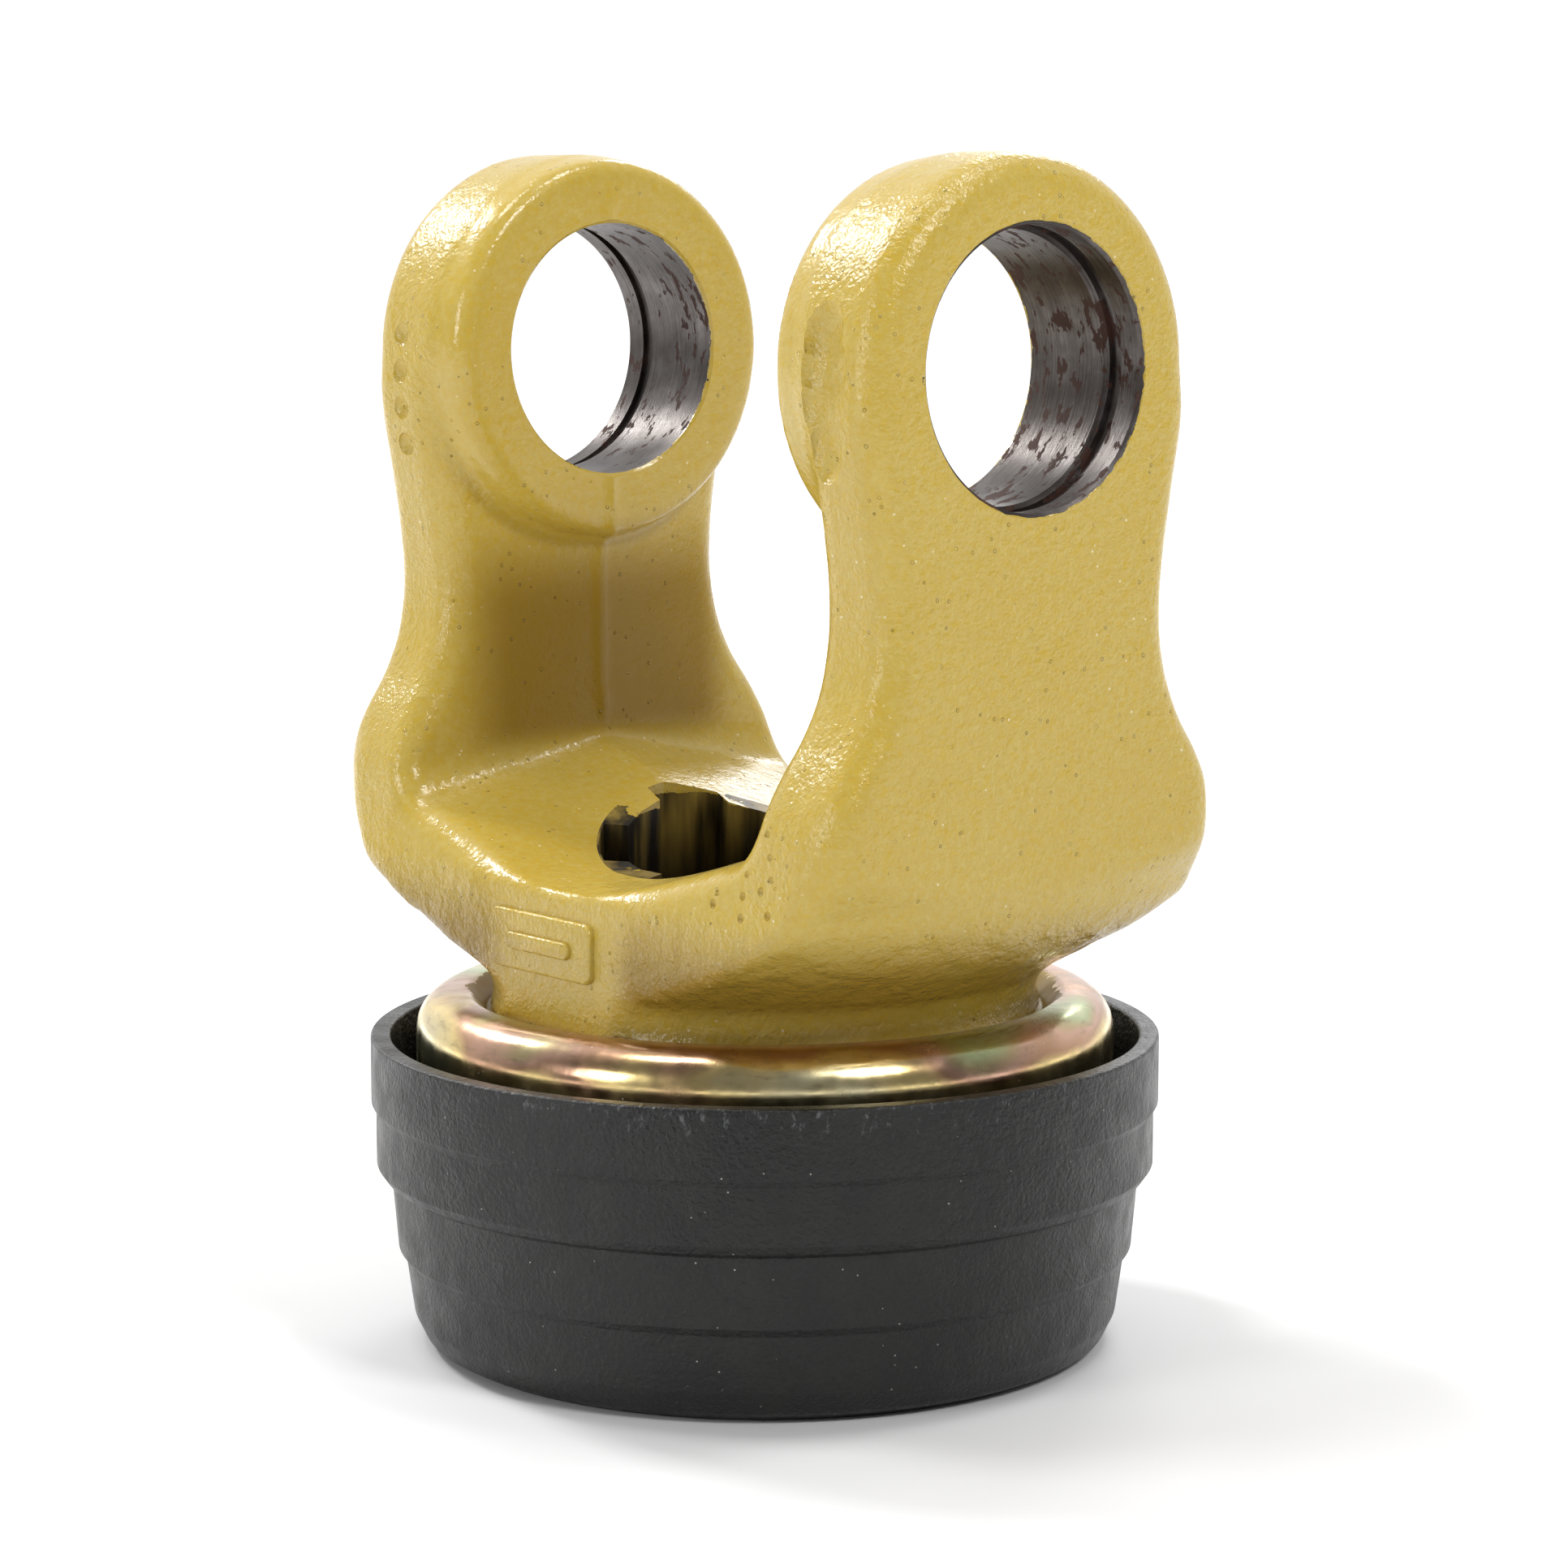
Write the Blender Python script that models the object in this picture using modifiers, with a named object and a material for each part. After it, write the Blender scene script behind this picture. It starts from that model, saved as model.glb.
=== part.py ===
"""Quick-disconnect yoke of a power take-off driveline: a forged fork with a splined hub, and a ball lock
that a pull ring releases.

Frame: metres. The origin is on the shaft's axis at the foot of the pull ring, +Z runs along the shaft
towards the ears, and Y runs along the cross bores. The balls are locked at rest.
Sizes below are in millimetres; MM turns them into metres.
"""

import math

import bmesh
import bpy
from mathutils import Matrix, Vector

MM = 0.001
GAP = 0.3  # clearance between pieces that touch
OVERRUN = 4.0  # how far a cutter runs past the face it opens

# Universal joint: 27 mm bearing cups, 74.6 mm across the snap rings.
CUP_RADIUS = 13.5
CUP_SPAN = 74.6
CUP_RING_DEPTH = 0.9
CUP_RING_WIDTH = 1.7
CUP_MOUTH_RADIUS = 13.9
CUP_MOUTH_CHAMFER = 0.5
BORE_HEIGHT = 103.8
EAR_OUTER = 42.0
EAR_INNER = 25.9
EAR_RADIUS = 20.9
EAR_EDGE = 3.4  # rounding of the ears' outer edges
BOSS_RADIUS = 20.3
BOSS_FOOT_RADIUS = 20.6
BOSS_CHAMFER = 0.8
BOSS_DRAFT_DEPTH = 0.6  # how far the boss's slanted side runs into the ear

# Fork between the ears.
FLOOR_HEIGHT = 52.0
FLOOR_FLAT = 3.5  # half-width of the floor's level strip
FLOOR_RISE = 0.38  # its slope from there up to the crease under each ear
FLOOR_DRAFT = 0.06  # its fall towards the flanks
CREASE_HEIGHT = 61.5
CREASE_CHAMFER = (1.5, 1.0)  # along the floor's ramp and up the wall
WALL_INNER = 28.6  # the ears' inner ridge below the bosses
WALL_SLOPE_LOW = 0.08  # how fast the inner wall falls back from its ridge, at the crease
WALL_SLOPE_HIGH = 0.20  # and just below the boss
GAP_HALF_LENGTH = 34.0

# Hub, neck and 1-3/8 inch six-spline bore.
NECK_RADIUS = 28.7
NECK_FOOT = 35.8
NECK_TOP = 56.5  # the blank's top, which the fork's floor cuts down between the ears
NECK_LIP = 4.0
HUB_RADIUS = 25.0
HUB_END = 0.5
HUB_CHAMFER = 0.9
SPLINE_COUNT = 6
SPLINE_MAJOR = 17.5
SPLINE_MINOR = 15.0
SPLINE_WIDTH = 8.75
SPLINE_TURN = 23.0  # degrees from +X to the first slot
SPLINE_LEAD_IN = 1.6

# Ball lock.
BALL_COUNT = 3
BALL_RADIUS = 5.55
BALL_HEIGHT = 14.0
SHAFT_GROOVE_RADIUS = 14.7  # the shaft's locking groove, which the balls rest in
BALL_TRAVEL = 2.8
COLLAR_TRAVEL = 8.0
CONE_SLOPE = BALL_TRAVEL / COLLAR_TRAVEL
BALL_CENTRE = SHAFT_GROOVE_RADIUS + BALL_RADIUS
CONE_AT_BALL = BALL_CENTRE + (BALL_RADIUS + GAP) * math.hypot(1.0, CONE_SLOPE)

# Locking ring.
LOCK_FOOT = 7.0
LOCK_FLANGE_TOP = 9.5
LOCK_FLANGE_RADIUS = 35.3
LOCK_SLEEVE_RADIUS = 30.9
LOCK_SLEEVE_TOP = 20.5
LOCK_BORE = HUB_RADIUS + 0.35

# Retaining ring and stop washer at the hub's end.
RING_GROOVE_RADIUS = 23.2
RETAINER_FOOT = 2.8
RETAINER_TOP = 4.6
RETAINER_RADIUS = 27.6
RETAINER_OPENING = 34.0  # degrees
WASHER_FOOT = RETAINER_TOP + GAP
WASHER_TOP = LOCK_FOOT - GAP
WASHER_RADIUS = 32.2

# Spring cap.
CAP_THICKNESS = 1.5
CAP_RADIUS = 36.85
CAP_SHOULDER = 4.0
CAP_CROWN = 37.4
CAP_SEAT = NECK_FOOT - GAP
CAP_FOOT = 28.0
CAP_DISH = (0.7, 2.5)  # from the neck out to the seat's edge, and out to where the crown begins
CAP_DISH_RISE = 0.75  # share of the crown's height reached there

# Spring.
WIRE_RADIUS = 1.6
COIL_GAP = 0.6  # round the sleeve: the coil's straight facets dip inside its radius
SPRING_RADIUS = LOCK_SLEEVE_RADIUS + COIL_GAP + WIRE_RADIUS
SPRING_TURNS = 5
SPRING_END_PITCH = 3.6
POINTS_PER_TURN = 20

# Pull ring.
RING_TOP = 33.0
RING_RADIUS = 41.66
RING_WALL = 2.1
RING_LIP_BORE = 32.8
RING_EDGE = 0.35

TURN_STEPS = 48
RING_STEPS = 56
BORE_STEPS = 40
CLOCKING = 3.1  # degrees each cutter is turned about itself, so that its facets cross the others' edges


def clear_scene():
    for thing in list(bpy.data.objects):
        bpy.data.objects.remove(thing)


def collection(name):
    found = bpy.data.collections.new(name)
    bpy.context.scene.collection.children.link(found)
    return found


def material(name, colour, roughness, metallic):
    made = bpy.data.materials.new(name)
    made.use_nodes = True
    shader = made.node_tree.nodes["Principled BSDF"]
    shader.inputs["Base Color"].default_value = (*colour, 1.0)
    shader.inputs["Roughness"].default_value = roughness
    shader.inputs["Metallic"].default_value = metallic
    return made


def add_object(name, mesh, group):
    made = bpy.data.objects.new(name, mesh)
    group.objects.link(made)
    return made


def as_cutter(thing):
    thing.hide_render = True
    thing.display_type = "WIRE"
    return thing


def smooth(thing, degrees=32.0):
    thing.data.shade_smooth()
    thing.data.set_sharp_from_angle(angle=math.radians(degrees))


def arc(centre, radius, start, end, steps):
    """Points along an arc, in degrees, as (across, up) pairs in millimetres."""
    turns = [math.radians(start + (end - start) * i / steps) for i in range(steps + 1)]
    return [(centre[0] + radius * math.cos(t), centre[1] + radius * math.sin(t)) for t in turns]


def turned(name, profile, group, closed, steps=TURN_STEPS):
    """A profile of (radius, height) in millimetres, turned about Z. It runs down its outer side."""
    mesh = bpy.data.meshes.new(name)
    points = [(radius * MM, 0.0, height * MM) for radius, height in profile]
    edges = [(i, i + 1) for i in range(len(points) - 1)]
    if closed:
        edges.append((len(points) - 1, 0))
    mesh.from_pydata(points, edges, [])
    made = add_object(name, mesh, group)
    screw = made.modifiers.new("turn", "SCREW")
    screw.axis = "Z"
    screw.steps = steps
    screw.render_steps = steps
    screw.use_merge_vertices = True
    screw.merge_threshold = 0.00001
    screw.use_smooth_shade = True
    return made


def extruded(name, outline, thickness, group):
    """A flat outline in the object's XY plane, extruded both ways along its Z, as a closed mesh."""
    curve = bpy.data.curves.new(name + "_outline", "CURVE")
    curve.dimensions = "2D"
    curve.fill_mode = "BOTH"
    curve.extrude = thickness * MM / 2
    spline = curve.splines.new("POLY")
    spline.points.add(len(outline) - 1)
    for point, (across, up) in zip(spline.points, outline):
        point.co = (across * MM, up * MM, 0.0, 1.0)
    spline.use_cyclic_u = True
    flat = add_object(name + "_outline", curve, group)
    bpy.context.view_layer.update()
    graph = bpy.context.evaluated_depsgraph_get()
    mesh = bpy.data.meshes.new_from_object(flat.evaluated_get(graph))
    shape = bmesh.new()
    shape.from_mesh(mesh)
    bmesh.ops.remove_doubles(shape, verts=shape.verts, dist=0.00001)
    bmesh.ops.recalc_face_normals(shape, faces=shape.faces)
    shape.to_mesh(mesh)
    shape.free()
    made = add_object(name, mesh, group)
    made.matrix_world = flat.matrix_world
    bpy.data.objects.remove(flat)
    return made


def stand_across(thing):
    """Turns a piece drawn in XY so that its outline stands in XZ and its thickness runs along Y."""
    thing.data.transform(Matrix.Rotation(math.radians(90), 4, "X"))


def boolean(thing, other, operation):
    step = thing.modifiers.new(operation.lower() + "_" + other.name, "BOOLEAN")
    step.operation = operation
    step.object = other
    step.solver = "EXACT"


def rounded_edges(thing, width, segments, degrees):
    bevel = thing.modifiers.new("rounded_edges", "BEVEL")
    bevel.width = width * MM
    bevel.segments = segments
    bevel.limit_method = "ANGLE"
    bevel.angle_limit = math.radians(degrees)
    bevel.use_clamp_overlap = False  # the outline's short edges would shrink the width


def ear_outline():
    """Outline of both ears seen along the cross bores: round head, waist, and wide foot."""
    head = arc((0.0, BORE_HEIGHT), EAR_RADIUS, 0.0, 180.0, 20)
    cheek = [(-21.2, 99.8), (-20.8, 95.8), (-19.8, 90.5)]
    waist = [(-18.8, 84.0), (-18.5, 78.5), (-19.2, 73.5), (-21.1, 69.0), (-23.6, 65.0)]
    foot = [(-26.0, 60.5), (-27.1, 55.0), (-28.2, 48.0), (-27.6, 38.5)]
    side = cheek + waist + foot
    return head + side + [(-across, up) for across, up in reversed(side)]


def bowl_profile():
    """The forging's outside below the ears, and a straight wall above that clears them."""
    top = BORE_HEIGHT + EAR_RADIUS + OVERRUN
    clear = math.hypot(EAR_OUTER, EAR_RADIUS) + OVERRUN * 2
    under = [(47.8, 58.0), (47.2, 54.6), (46.0, 51.7), (44.2, 49.4), (41.3, 47.3), (37.8, 45.2)]
    neck = [(34.0, 43.2), (31.1, 41.4), (29.3, 40.1), (27.0, 39.6), (0.0, 39.6)]
    return [(0.0, top), (clear, top), (clear, 64.0)] + under + neck


def hub_profile():
    lip = arc((NECK_RADIUS - NECK_LIP, NECK_TOP - NECK_LIP), NECK_LIP, 90.0, 0.0, 3)
    groove_top = RETAINER_TOP + GAP
    groove_foot = RETAINER_FOOT - GAP
    shaft = [
        (NECK_RADIUS, NECK_FOOT),
        (HUB_RADIUS, NECK_FOOT),
        (HUB_RADIUS, groove_top),
        (RING_GROOVE_RADIUS, groove_top),
        (RING_GROOVE_RADIUS, groove_foot),
        (HUB_RADIUS, groove_foot),
        (HUB_RADIUS, HUB_END + HUB_CHAMFER),
        (HUB_RADIUS - HUB_CHAMFER, HUB_END),
    ]
    return [(0.0, NECK_TOP)] + lip + shaft + [(0.0, HUB_END)]


def wall_slope(height):
    share = (height - CREASE_HEIGHT) / (BORE_HEIGHT - BOSS_RADIUS - CREASE_HEIGHT)
    share = min(max(share, 0.0), 1.0)
    return WALL_SLOPE_LOW + (WALL_SLOPE_HIGH - WALL_SLOPE_LOW) * share


def fork_gap(group):
    """The space between the ears. Its walls fall back on each side of a ridge in the YZ plane."""
    ramp_end = WALL_INNER - CREASE_CHAMFER[0]
    ramp_top = FLOOR_HEIGHT + FLOOR_RISE * (ramp_end - FLOOR_FLAT)
    side = [
        (FLOOR_FLAT, FLOOR_HEIGHT),
        (ramp_end, ramp_top),
        (WALL_INNER, CREASE_HEIGHT + CREASE_CHAMFER[1]),
        (WALL_INNER, BORE_HEIGHT - BOSS_RADIUS),
        (WALL_INNER, BORE_HEIGHT + EAR_RADIUS + OVERRUN),
    ]
    outline = side + [(-across, up) for across, up in reversed(side)]
    cutter = extruded("fork_gap", outline, 2 * GAP_HALF_LENGTH, group)
    stand_across(cutter)
    cutter.data.transform(Matrix.Rotation(math.radians(90), 4, "Z"))
    shape = bmesh.new()
    shape.from_mesh(cutter.data)
    everything = shape.verts[:] + shape.edges[:] + shape.faces[:]
    bmesh.ops.bisect_plane(shape, geom=everything, plane_co=(0, 0, 0), plane_no=(1, 0, 0))
    for corner in shape.verts:
        slope = wall_slope(corner.co.z / MM)
        if corner.co.z < CREASE_HEIGHT * MM:
            corner.co.z -= FLOOR_DRAFT * abs(corner.co.x)
        else:
            corner.co.y += math.copysign(slope * abs(corner.co.x), corner.co.y)
    bmesh.ops.triangulate(shape, faces=shape.faces)
    shape.to_mesh(cutter.data)
    shape.free()
    return as_cutter(cutter)


def across_the_ears(degrees):
    """Puts a piece turned about Z on the cross bores' axis."""
    return Matrix.Translation((0, 0, BORE_HEIGHT * MM)) @ Matrix.Rotation(math.radians(degrees), 4, "X")


def clocked():
    return Matrix.Rotation(math.radians(CLOCKING), 4, "Z")


def boss(name, side, group):
    """The thick round head of an ear, from its inner face to inside the ear."""
    profile = [
        (0.0, EAR_OUTER - EAR_EDGE),
        (BOSS_FOOT_RADIUS, EAR_OUTER - EAR_EDGE),
        (BOSS_FOOT_RADIUS, WALL_INNER + BOSS_DRAFT_DEPTH),
        (BOSS_RADIUS, EAR_INNER + BOSS_CHAMFER),
        (BOSS_RADIUS - BOSS_CHAMFER, EAR_INNER),
        (0.0, EAR_INNER),
    ]
    made = turned(name, profile, group, closed=False, steps=BORE_STEPS)
    made.matrix_world = across_the_ears(-90 * side)
    return as_cutter(made)


def cross_bore(group):
    """Both cup bores in one cutter, each with its snap ring groove and a wider mouth."""
    groove_inner = CUP_SPAN / 2
    groove_outer = groove_inner + CUP_RING_WIDTH
    end = EAR_OUTER + OVERRUN
    upper = [
        (0.0, end),
        (CUP_MOUTH_RADIUS + CUP_MOUTH_CHAMFER, end),
        (CUP_MOUTH_RADIUS + CUP_MOUTH_CHAMFER, EAR_OUTER),
        (CUP_MOUTH_RADIUS, EAR_OUTER - CUP_MOUTH_CHAMFER),
        (CUP_MOUTH_RADIUS, groove_outer),
        (CUP_RADIUS + CUP_RING_DEPTH, groove_outer),
        (CUP_RADIUS + CUP_RING_DEPTH, groove_inner),
        (CUP_RADIUS, groove_inner),
    ]
    lower = [(radius, -height) for radius, height in reversed(upper)]
    made = turned("cross_bore", upper + lower, group, closed=False, steps=BORE_STEPS)
    made.matrix_world = across_the_ears(90) @ clocked()
    return as_cutter(made)


def spline_bore(group):
    """Six slots with round bottoms, between lands on the minor diameter."""
    half = SPLINE_WIDTH / 2
    outer = math.asin(half / SPLINE_MAJOR)
    inner = math.asin(half / SPLINE_MINOR)
    slot = [(SPLINE_MINOR, -inner), (SPLINE_MAJOR, -outer), (SPLINE_MAJOR, 0.0)]
    slot += [(SPLINE_MAJOR, outer), (SPLINE_MINOR, inner)]
    outline = []
    for i in range(SPLINE_COUNT):
        middle = math.radians(SPLINE_TURN + 360.0 * i / SPLINE_COUNT)
        outline += [(r * math.cos(middle + turn), r * math.sin(middle + turn)) for r, turn in slot]
    length = NECK_TOP + 2 * OVERRUN
    cutter = extruded("spline_bore", outline, length, group)
    cutter.matrix_world = Matrix.Translation((0, 0, NECK_TOP / 2 * MM))
    return as_cutter(cutter)


def spline_lead_in(group):
    mouth = SPLINE_MAJOR + SPLINE_LEAD_IN
    foot = HUB_END - OVERRUN
    profile = [
        (0.0, HUB_END + mouth),
        (mouth - SPLINE_LEAD_IN, HUB_END + SPLINE_LEAD_IN),
        (mouth, HUB_END),
        (mouth, foot),
        (0.0, foot),
    ]
    made = turned("spline_lead_in", profile, group, closed=False, steps=BORE_STEPS)
    made.matrix_world = clocked()
    return as_cutter(made)


def ball_direction(index):
    turn = math.radians(SPLINE_TURN + 360.0 * index / BALL_COUNT)
    return Vector((math.cos(turn), math.sin(turn), 0.0))


def ball_seat(index, group):
    """A radial hole with a round bottom, which stops the ball short of falling into the bore."""
    radius = BALL_RADIUS + GAP
    bottom = arc((0.0, 0.0), radius, 0.0, -90.0, 6)
    length = HUB_RADIUS - BALL_CENTRE + OVERRUN
    profile = [(0.0, length), (radius, length)] + bottom
    made = turned(f"ball_seat_{index}", profile, group, closed=False, steps=24)
    direction = ball_direction(index)
    centre = direction * BALL_CENTRE * MM + Vector((0, 0, BALL_HEIGHT * MM))
    outward = direction.to_track_quat("Z", "Y").to_matrix().to_4x4()
    made.matrix_world = Matrix.Translation(centre) @ outward @ clocked()
    return as_cutter(made)


def build_yoke(parts, cutters):
    yoke = extruded("yoke", ear_outline(), 2 * EAR_OUTER, parts)
    stand_across(yoke)
    rounded_edges(yoke, EAR_EDGE, 3, 60.0)
    bowl = as_cutter(turned("fork_bowl", bowl_profile(), cutters, closed=False))
    hub = as_cutter(turned("hub_blank", hub_profile(), cutters, closed=False))
    boolean(yoke, bowl, "INTERSECT")
    boolean(yoke, hub, "UNION")
    boolean(yoke, fork_gap(cutters), "DIFFERENCE")
    for name, side in (("near_boss", -1), ("far_boss", 1)):
        boolean(yoke, boss(name, side, cutters), "UNION")
    boolean(yoke, cross_bore(cutters), "DIFFERENCE")
    boolean(yoke, spline_bore(cutters), "DIFFERENCE")
    boolean(yoke, spline_lead_in(cutters), "DIFFERENCE")
    for index in range(BALL_COUNT):
        boolean(yoke, ball_seat(index, cutters), "DIFFERENCE")
    smooth(yoke)
    return yoke


def build_balls(parts):
    mesh = bpy.data.meshes.new("ball")
    shape = bmesh.new()
    bmesh.ops.create_uvsphere(shape, u_segments=18, v_segments=10, radius=BALL_RADIUS * MM)
    shape.to_mesh(mesh)
    shape.free()
    mesh.shade_smooth()
    balls = []
    for index in range(BALL_COUNT):
        ball = add_object(f"ball_{index + 1}", mesh, parts)
        ball.location = ball_direction(index) * BALL_CENTRE * MM + Vector((0, 0, BALL_HEIGHT * MM))
        balls.append(ball)
    return balls


def cone_radius(height):
    return CONE_AT_BALL - CONE_SLOPE * (height - BALL_HEIGHT)


def build_locking_ring(parts):
    cone_top = BALL_HEIGHT + (CONE_AT_BALL - LOCK_BORE) / CONE_SLOPE
    profile = [
        (LOCK_SLEEVE_RADIUS, LOCK_SLEEVE_TOP),
        (LOCK_SLEEVE_RADIUS, LOCK_FLANGE_TOP),
        (LOCK_FLANGE_RADIUS, LOCK_FLANGE_TOP),
        (LOCK_FLANGE_RADIUS, LOCK_FOOT),
        (cone_radius(LOCK_FOOT), LOCK_FOOT),
        (LOCK_BORE, cone_top),
        (LOCK_BORE, LOCK_SLEEVE_TOP),
    ]
    return turned("locking_ring", profile, parts, closed=True)


def build_stop_washer(parts):
    profile = [
        (WASHER_RADIUS, WASHER_TOP),
        (WASHER_RADIUS, WASHER_FOOT),
        (HUB_RADIUS + GAP, WASHER_FOOT),
        (HUB_RADIUS + GAP, WASHER_TOP),
    ]
    return turned("stop_washer", profile, parts, closed=True)


def build_retaining_ring(parts):
    """An open ring in the hub's groove."""
    half = RETAINER_OPENING / 2
    outer = arc((0.0, 0.0), RETAINER_RADIUS, half, 360.0 - half, 32)
    inner = arc((0.0, 0.0), RING_GROOVE_RADIUS + GAP, 360.0 - half, half, 32)
    ring = extruded("retaining_ring", outer + inner, RETAINER_TOP - RETAINER_FOOT, parts)
    ring.location.z = (RETAINER_TOP + RETAINER_FOOT) / 2 * MM
    smooth(ring)
    return ring


def build_spring_cap(parts):
    shoulder_at = (CAP_RADIUS - CAP_SHOULDER, CAP_CROWN - CAP_SHOULDER)
    inner_shoulder = CAP_SHOULDER - CAP_THICKNESS
    seat_edge, crown_edge = [NECK_RADIUS + out for out in CAP_DISH]
    crown_start = CAP_SEAT + CAP_DISH_RISE * (CAP_CROWN - CAP_SEAT)
    outside = [(HUB_RADIUS + GAP, CAP_SEAT), (seat_edge, CAP_SEAT), (crown_edge, crown_start)]
    outside += arc(shoulder_at, CAP_SHOULDER, 90.0, 0.0, 6) + [(CAP_RADIUS, CAP_FOOT)]
    inside = [(CAP_RADIUS - CAP_THICKNESS, CAP_FOOT)] + arc(shoulder_at, inner_shoulder, 0.0, 90.0, 4)
    inside += [
        (crown_edge + GAP, crown_start - CAP_THICKNESS),
        (seat_edge + GAP, CAP_SEAT - CAP_THICKNESS),
        (HUB_RADIUS + GAP, CAP_SEAT - CAP_THICKNESS),
    ]
    return turned("spring_cap", outside + inside, parts, closed=True)


def spring_height(turn, foot, top):
    """Height of the wire's centre after so many turns: closer coils at both ends."""
    middle_turns = SPRING_TURNS - 2
    middle_pitch = (top - foot - 2 * SPRING_END_PITCH) / middle_turns
    if turn < 1:
        return foot + SPRING_END_PITCH * turn
    if turn < 1 + middle_turns:
        return foot + SPRING_END_PITCH + middle_pitch * (turn - 1)
    return top - SPRING_END_PITCH * (SPRING_TURNS - turn)


def build_spring(parts):
    foot = LOCK_FLANGE_TOP + GAP + WIRE_RADIUS
    top = CAP_CROWN - CAP_THICKNESS - GAP - WIRE_RADIUS
    curve = bpy.data.curves.new("spring", "CURVE")
    curve.dimensions = "3D"
    curve.bevel_depth = WIRE_RADIUS * MM
    curve.bevel_resolution = 2
    curve.use_fill_caps = True
    wire = curve.splines.new("POLY")
    count = SPRING_TURNS * POINTS_PER_TURN
    wire.points.add(count)
    for i, point in enumerate(wire.points):
        turn = i / POINTS_PER_TURN
        angle = 2 * math.pi * turn
        across = SPRING_RADIUS * math.cos(angle)
        along = SPRING_RADIUS * math.sin(angle)
        point.co = (across * MM, along * MM, spring_height(turn, foot, top) * MM, 1.0)
    return add_object("spring", curve, parts)


def build_pull_ring(parts):
    """Stepped outside with four bands, a thin wall round the cap, and a pocket for the locking ring."""
    rim = arc((RING_RADIUS - RING_EDGE, RING_TOP - RING_EDGE), RING_EDGE, 90.0, 0.0, 2)
    upper_bands = [(RING_RADIUS, 25.7), (41.2, 25.2), (41.2, 19.0), (40.6, 18.2)]
    lower_bands = [(39.5, 17.8), (38.9, 9.9), (38.1, 9.5), (37.3, 3.4)]
    foot = [(36.6, 1.5), (35.5, 0.4), (34.4, 0.0)]
    lip = [(RING_LIP_BORE + RING_EDGE, 0.0), (RING_LIP_BORE, RING_EDGE)]
    pocket_radius = LOCK_FLANGE_RADIUS + GAP
    spring_clear = SPRING_RADIUS + WIRE_RADIUS + GAP
    wall = RING_RADIUS - RING_WALL
    inside = [
        (RING_LIP_BORE, LOCK_FOOT - GAP),
        (pocket_radius, LOCK_FOOT - GAP),
        (pocket_radius, LOCK_FLANGE_TOP + GAP),
        (spring_clear, LOCK_FLANGE_TOP + GAP),
        (spring_clear, 11.0),
        (36.5, 13.0),
        (37.0, 17.6),
        (wall, 20.2),
        (wall, RING_TOP - RING_EDGE),
        (wall + RING_EDGE, RING_TOP),
    ]
    outside = rim + upper_bands + lower_bands + foot + lip
    return turned("pull_ring", outside + inside, parts, closed=True, steps=RING_STEPS)


def main():
    clear_scene()
    parts = collection("quick_disconnect_yoke")
    cutters = collection("cutters")
    paint = material("yellow_paint", (0.50, 0.36, 0.06), 0.35, 0.0)
    steel = material("ground_steel", (0.45, 0.44, 0.43), 0.30, 1.0)
    chromate = material("yellow_chromate", (0.62, 0.50, 0.25), 0.22, 1.0)
    plastic = material("black_plastic", (0.035, 0.035, 0.037), 0.55, 0.0)
    dark_steel = material("phosphated_steel", (0.10, 0.10, 0.10), 0.45, 1.0)

    build_yoke(parts, cutters).data.materials.append(paint)
    for ball in build_balls(parts):
        if not ball.data.materials:
            ball.data.materials.append(steel)
    build_locking_ring(parts).data.materials.append(dark_steel)
    build_stop_washer(parts).data.materials.append(dark_steel)
    build_retaining_ring(parts).data.materials.append(dark_steel)
    build_spring_cap(parts).data.materials.append(chromate)
    build_spring(parts).data.materials.append(dark_steel)
    build_pull_ring(parts).data.materials.append(plastic)


main()
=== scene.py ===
"""Looks of the quick-disconnect yoke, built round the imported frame.

The yoke is sculpted as a distance field, the way a forging blends from one form into the next, and its
machined bores are then cut crisply. The turned pieces are profiles spun about the shaft's axis.
Sizes are in millimetres and MM turns them into the frame's metres.
"""

import math

import bmesh
import bpy
import numpy as np
from mathutils import Matrix, Vector


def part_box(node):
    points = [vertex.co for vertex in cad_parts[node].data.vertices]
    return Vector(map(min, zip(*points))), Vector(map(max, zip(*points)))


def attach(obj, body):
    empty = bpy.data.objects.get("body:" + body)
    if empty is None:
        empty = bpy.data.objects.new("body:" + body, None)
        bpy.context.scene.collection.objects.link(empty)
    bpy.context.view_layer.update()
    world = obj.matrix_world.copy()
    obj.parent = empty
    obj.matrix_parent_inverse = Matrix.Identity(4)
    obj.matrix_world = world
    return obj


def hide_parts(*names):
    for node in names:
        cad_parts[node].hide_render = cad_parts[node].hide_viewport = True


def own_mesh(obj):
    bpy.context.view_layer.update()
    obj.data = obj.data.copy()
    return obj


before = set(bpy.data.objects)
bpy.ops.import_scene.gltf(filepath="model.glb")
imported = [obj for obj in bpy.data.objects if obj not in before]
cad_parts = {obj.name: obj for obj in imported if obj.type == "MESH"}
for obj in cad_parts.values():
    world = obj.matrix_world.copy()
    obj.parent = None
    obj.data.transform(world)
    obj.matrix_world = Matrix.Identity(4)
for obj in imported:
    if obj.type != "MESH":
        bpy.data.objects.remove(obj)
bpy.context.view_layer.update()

MM = 0.001


def box_mm(node):
    """A CAD node's lowest and highest corners in millimetres."""
    low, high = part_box(node)
    return low / MM, high / MM


YOKE_LOW, YOKE_HIGH = box_mm("yoke")
CAP_LOW, CAP_HIGH = box_mm("spring_cap")
RING_LOW, RING_HIGH = box_mm("pull_ring")
LOCK_LOW, LOCK_HIGH = box_mm("locking_ring")
WASHER_LOW, WASHER_HIGH = box_mm("stop_washer")
RETAINER_LOW, RETAINER_HIGH = box_mm("retaining_ring")
SPRING_LOW, SPRING_HIGH = box_mm("spring")

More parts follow.
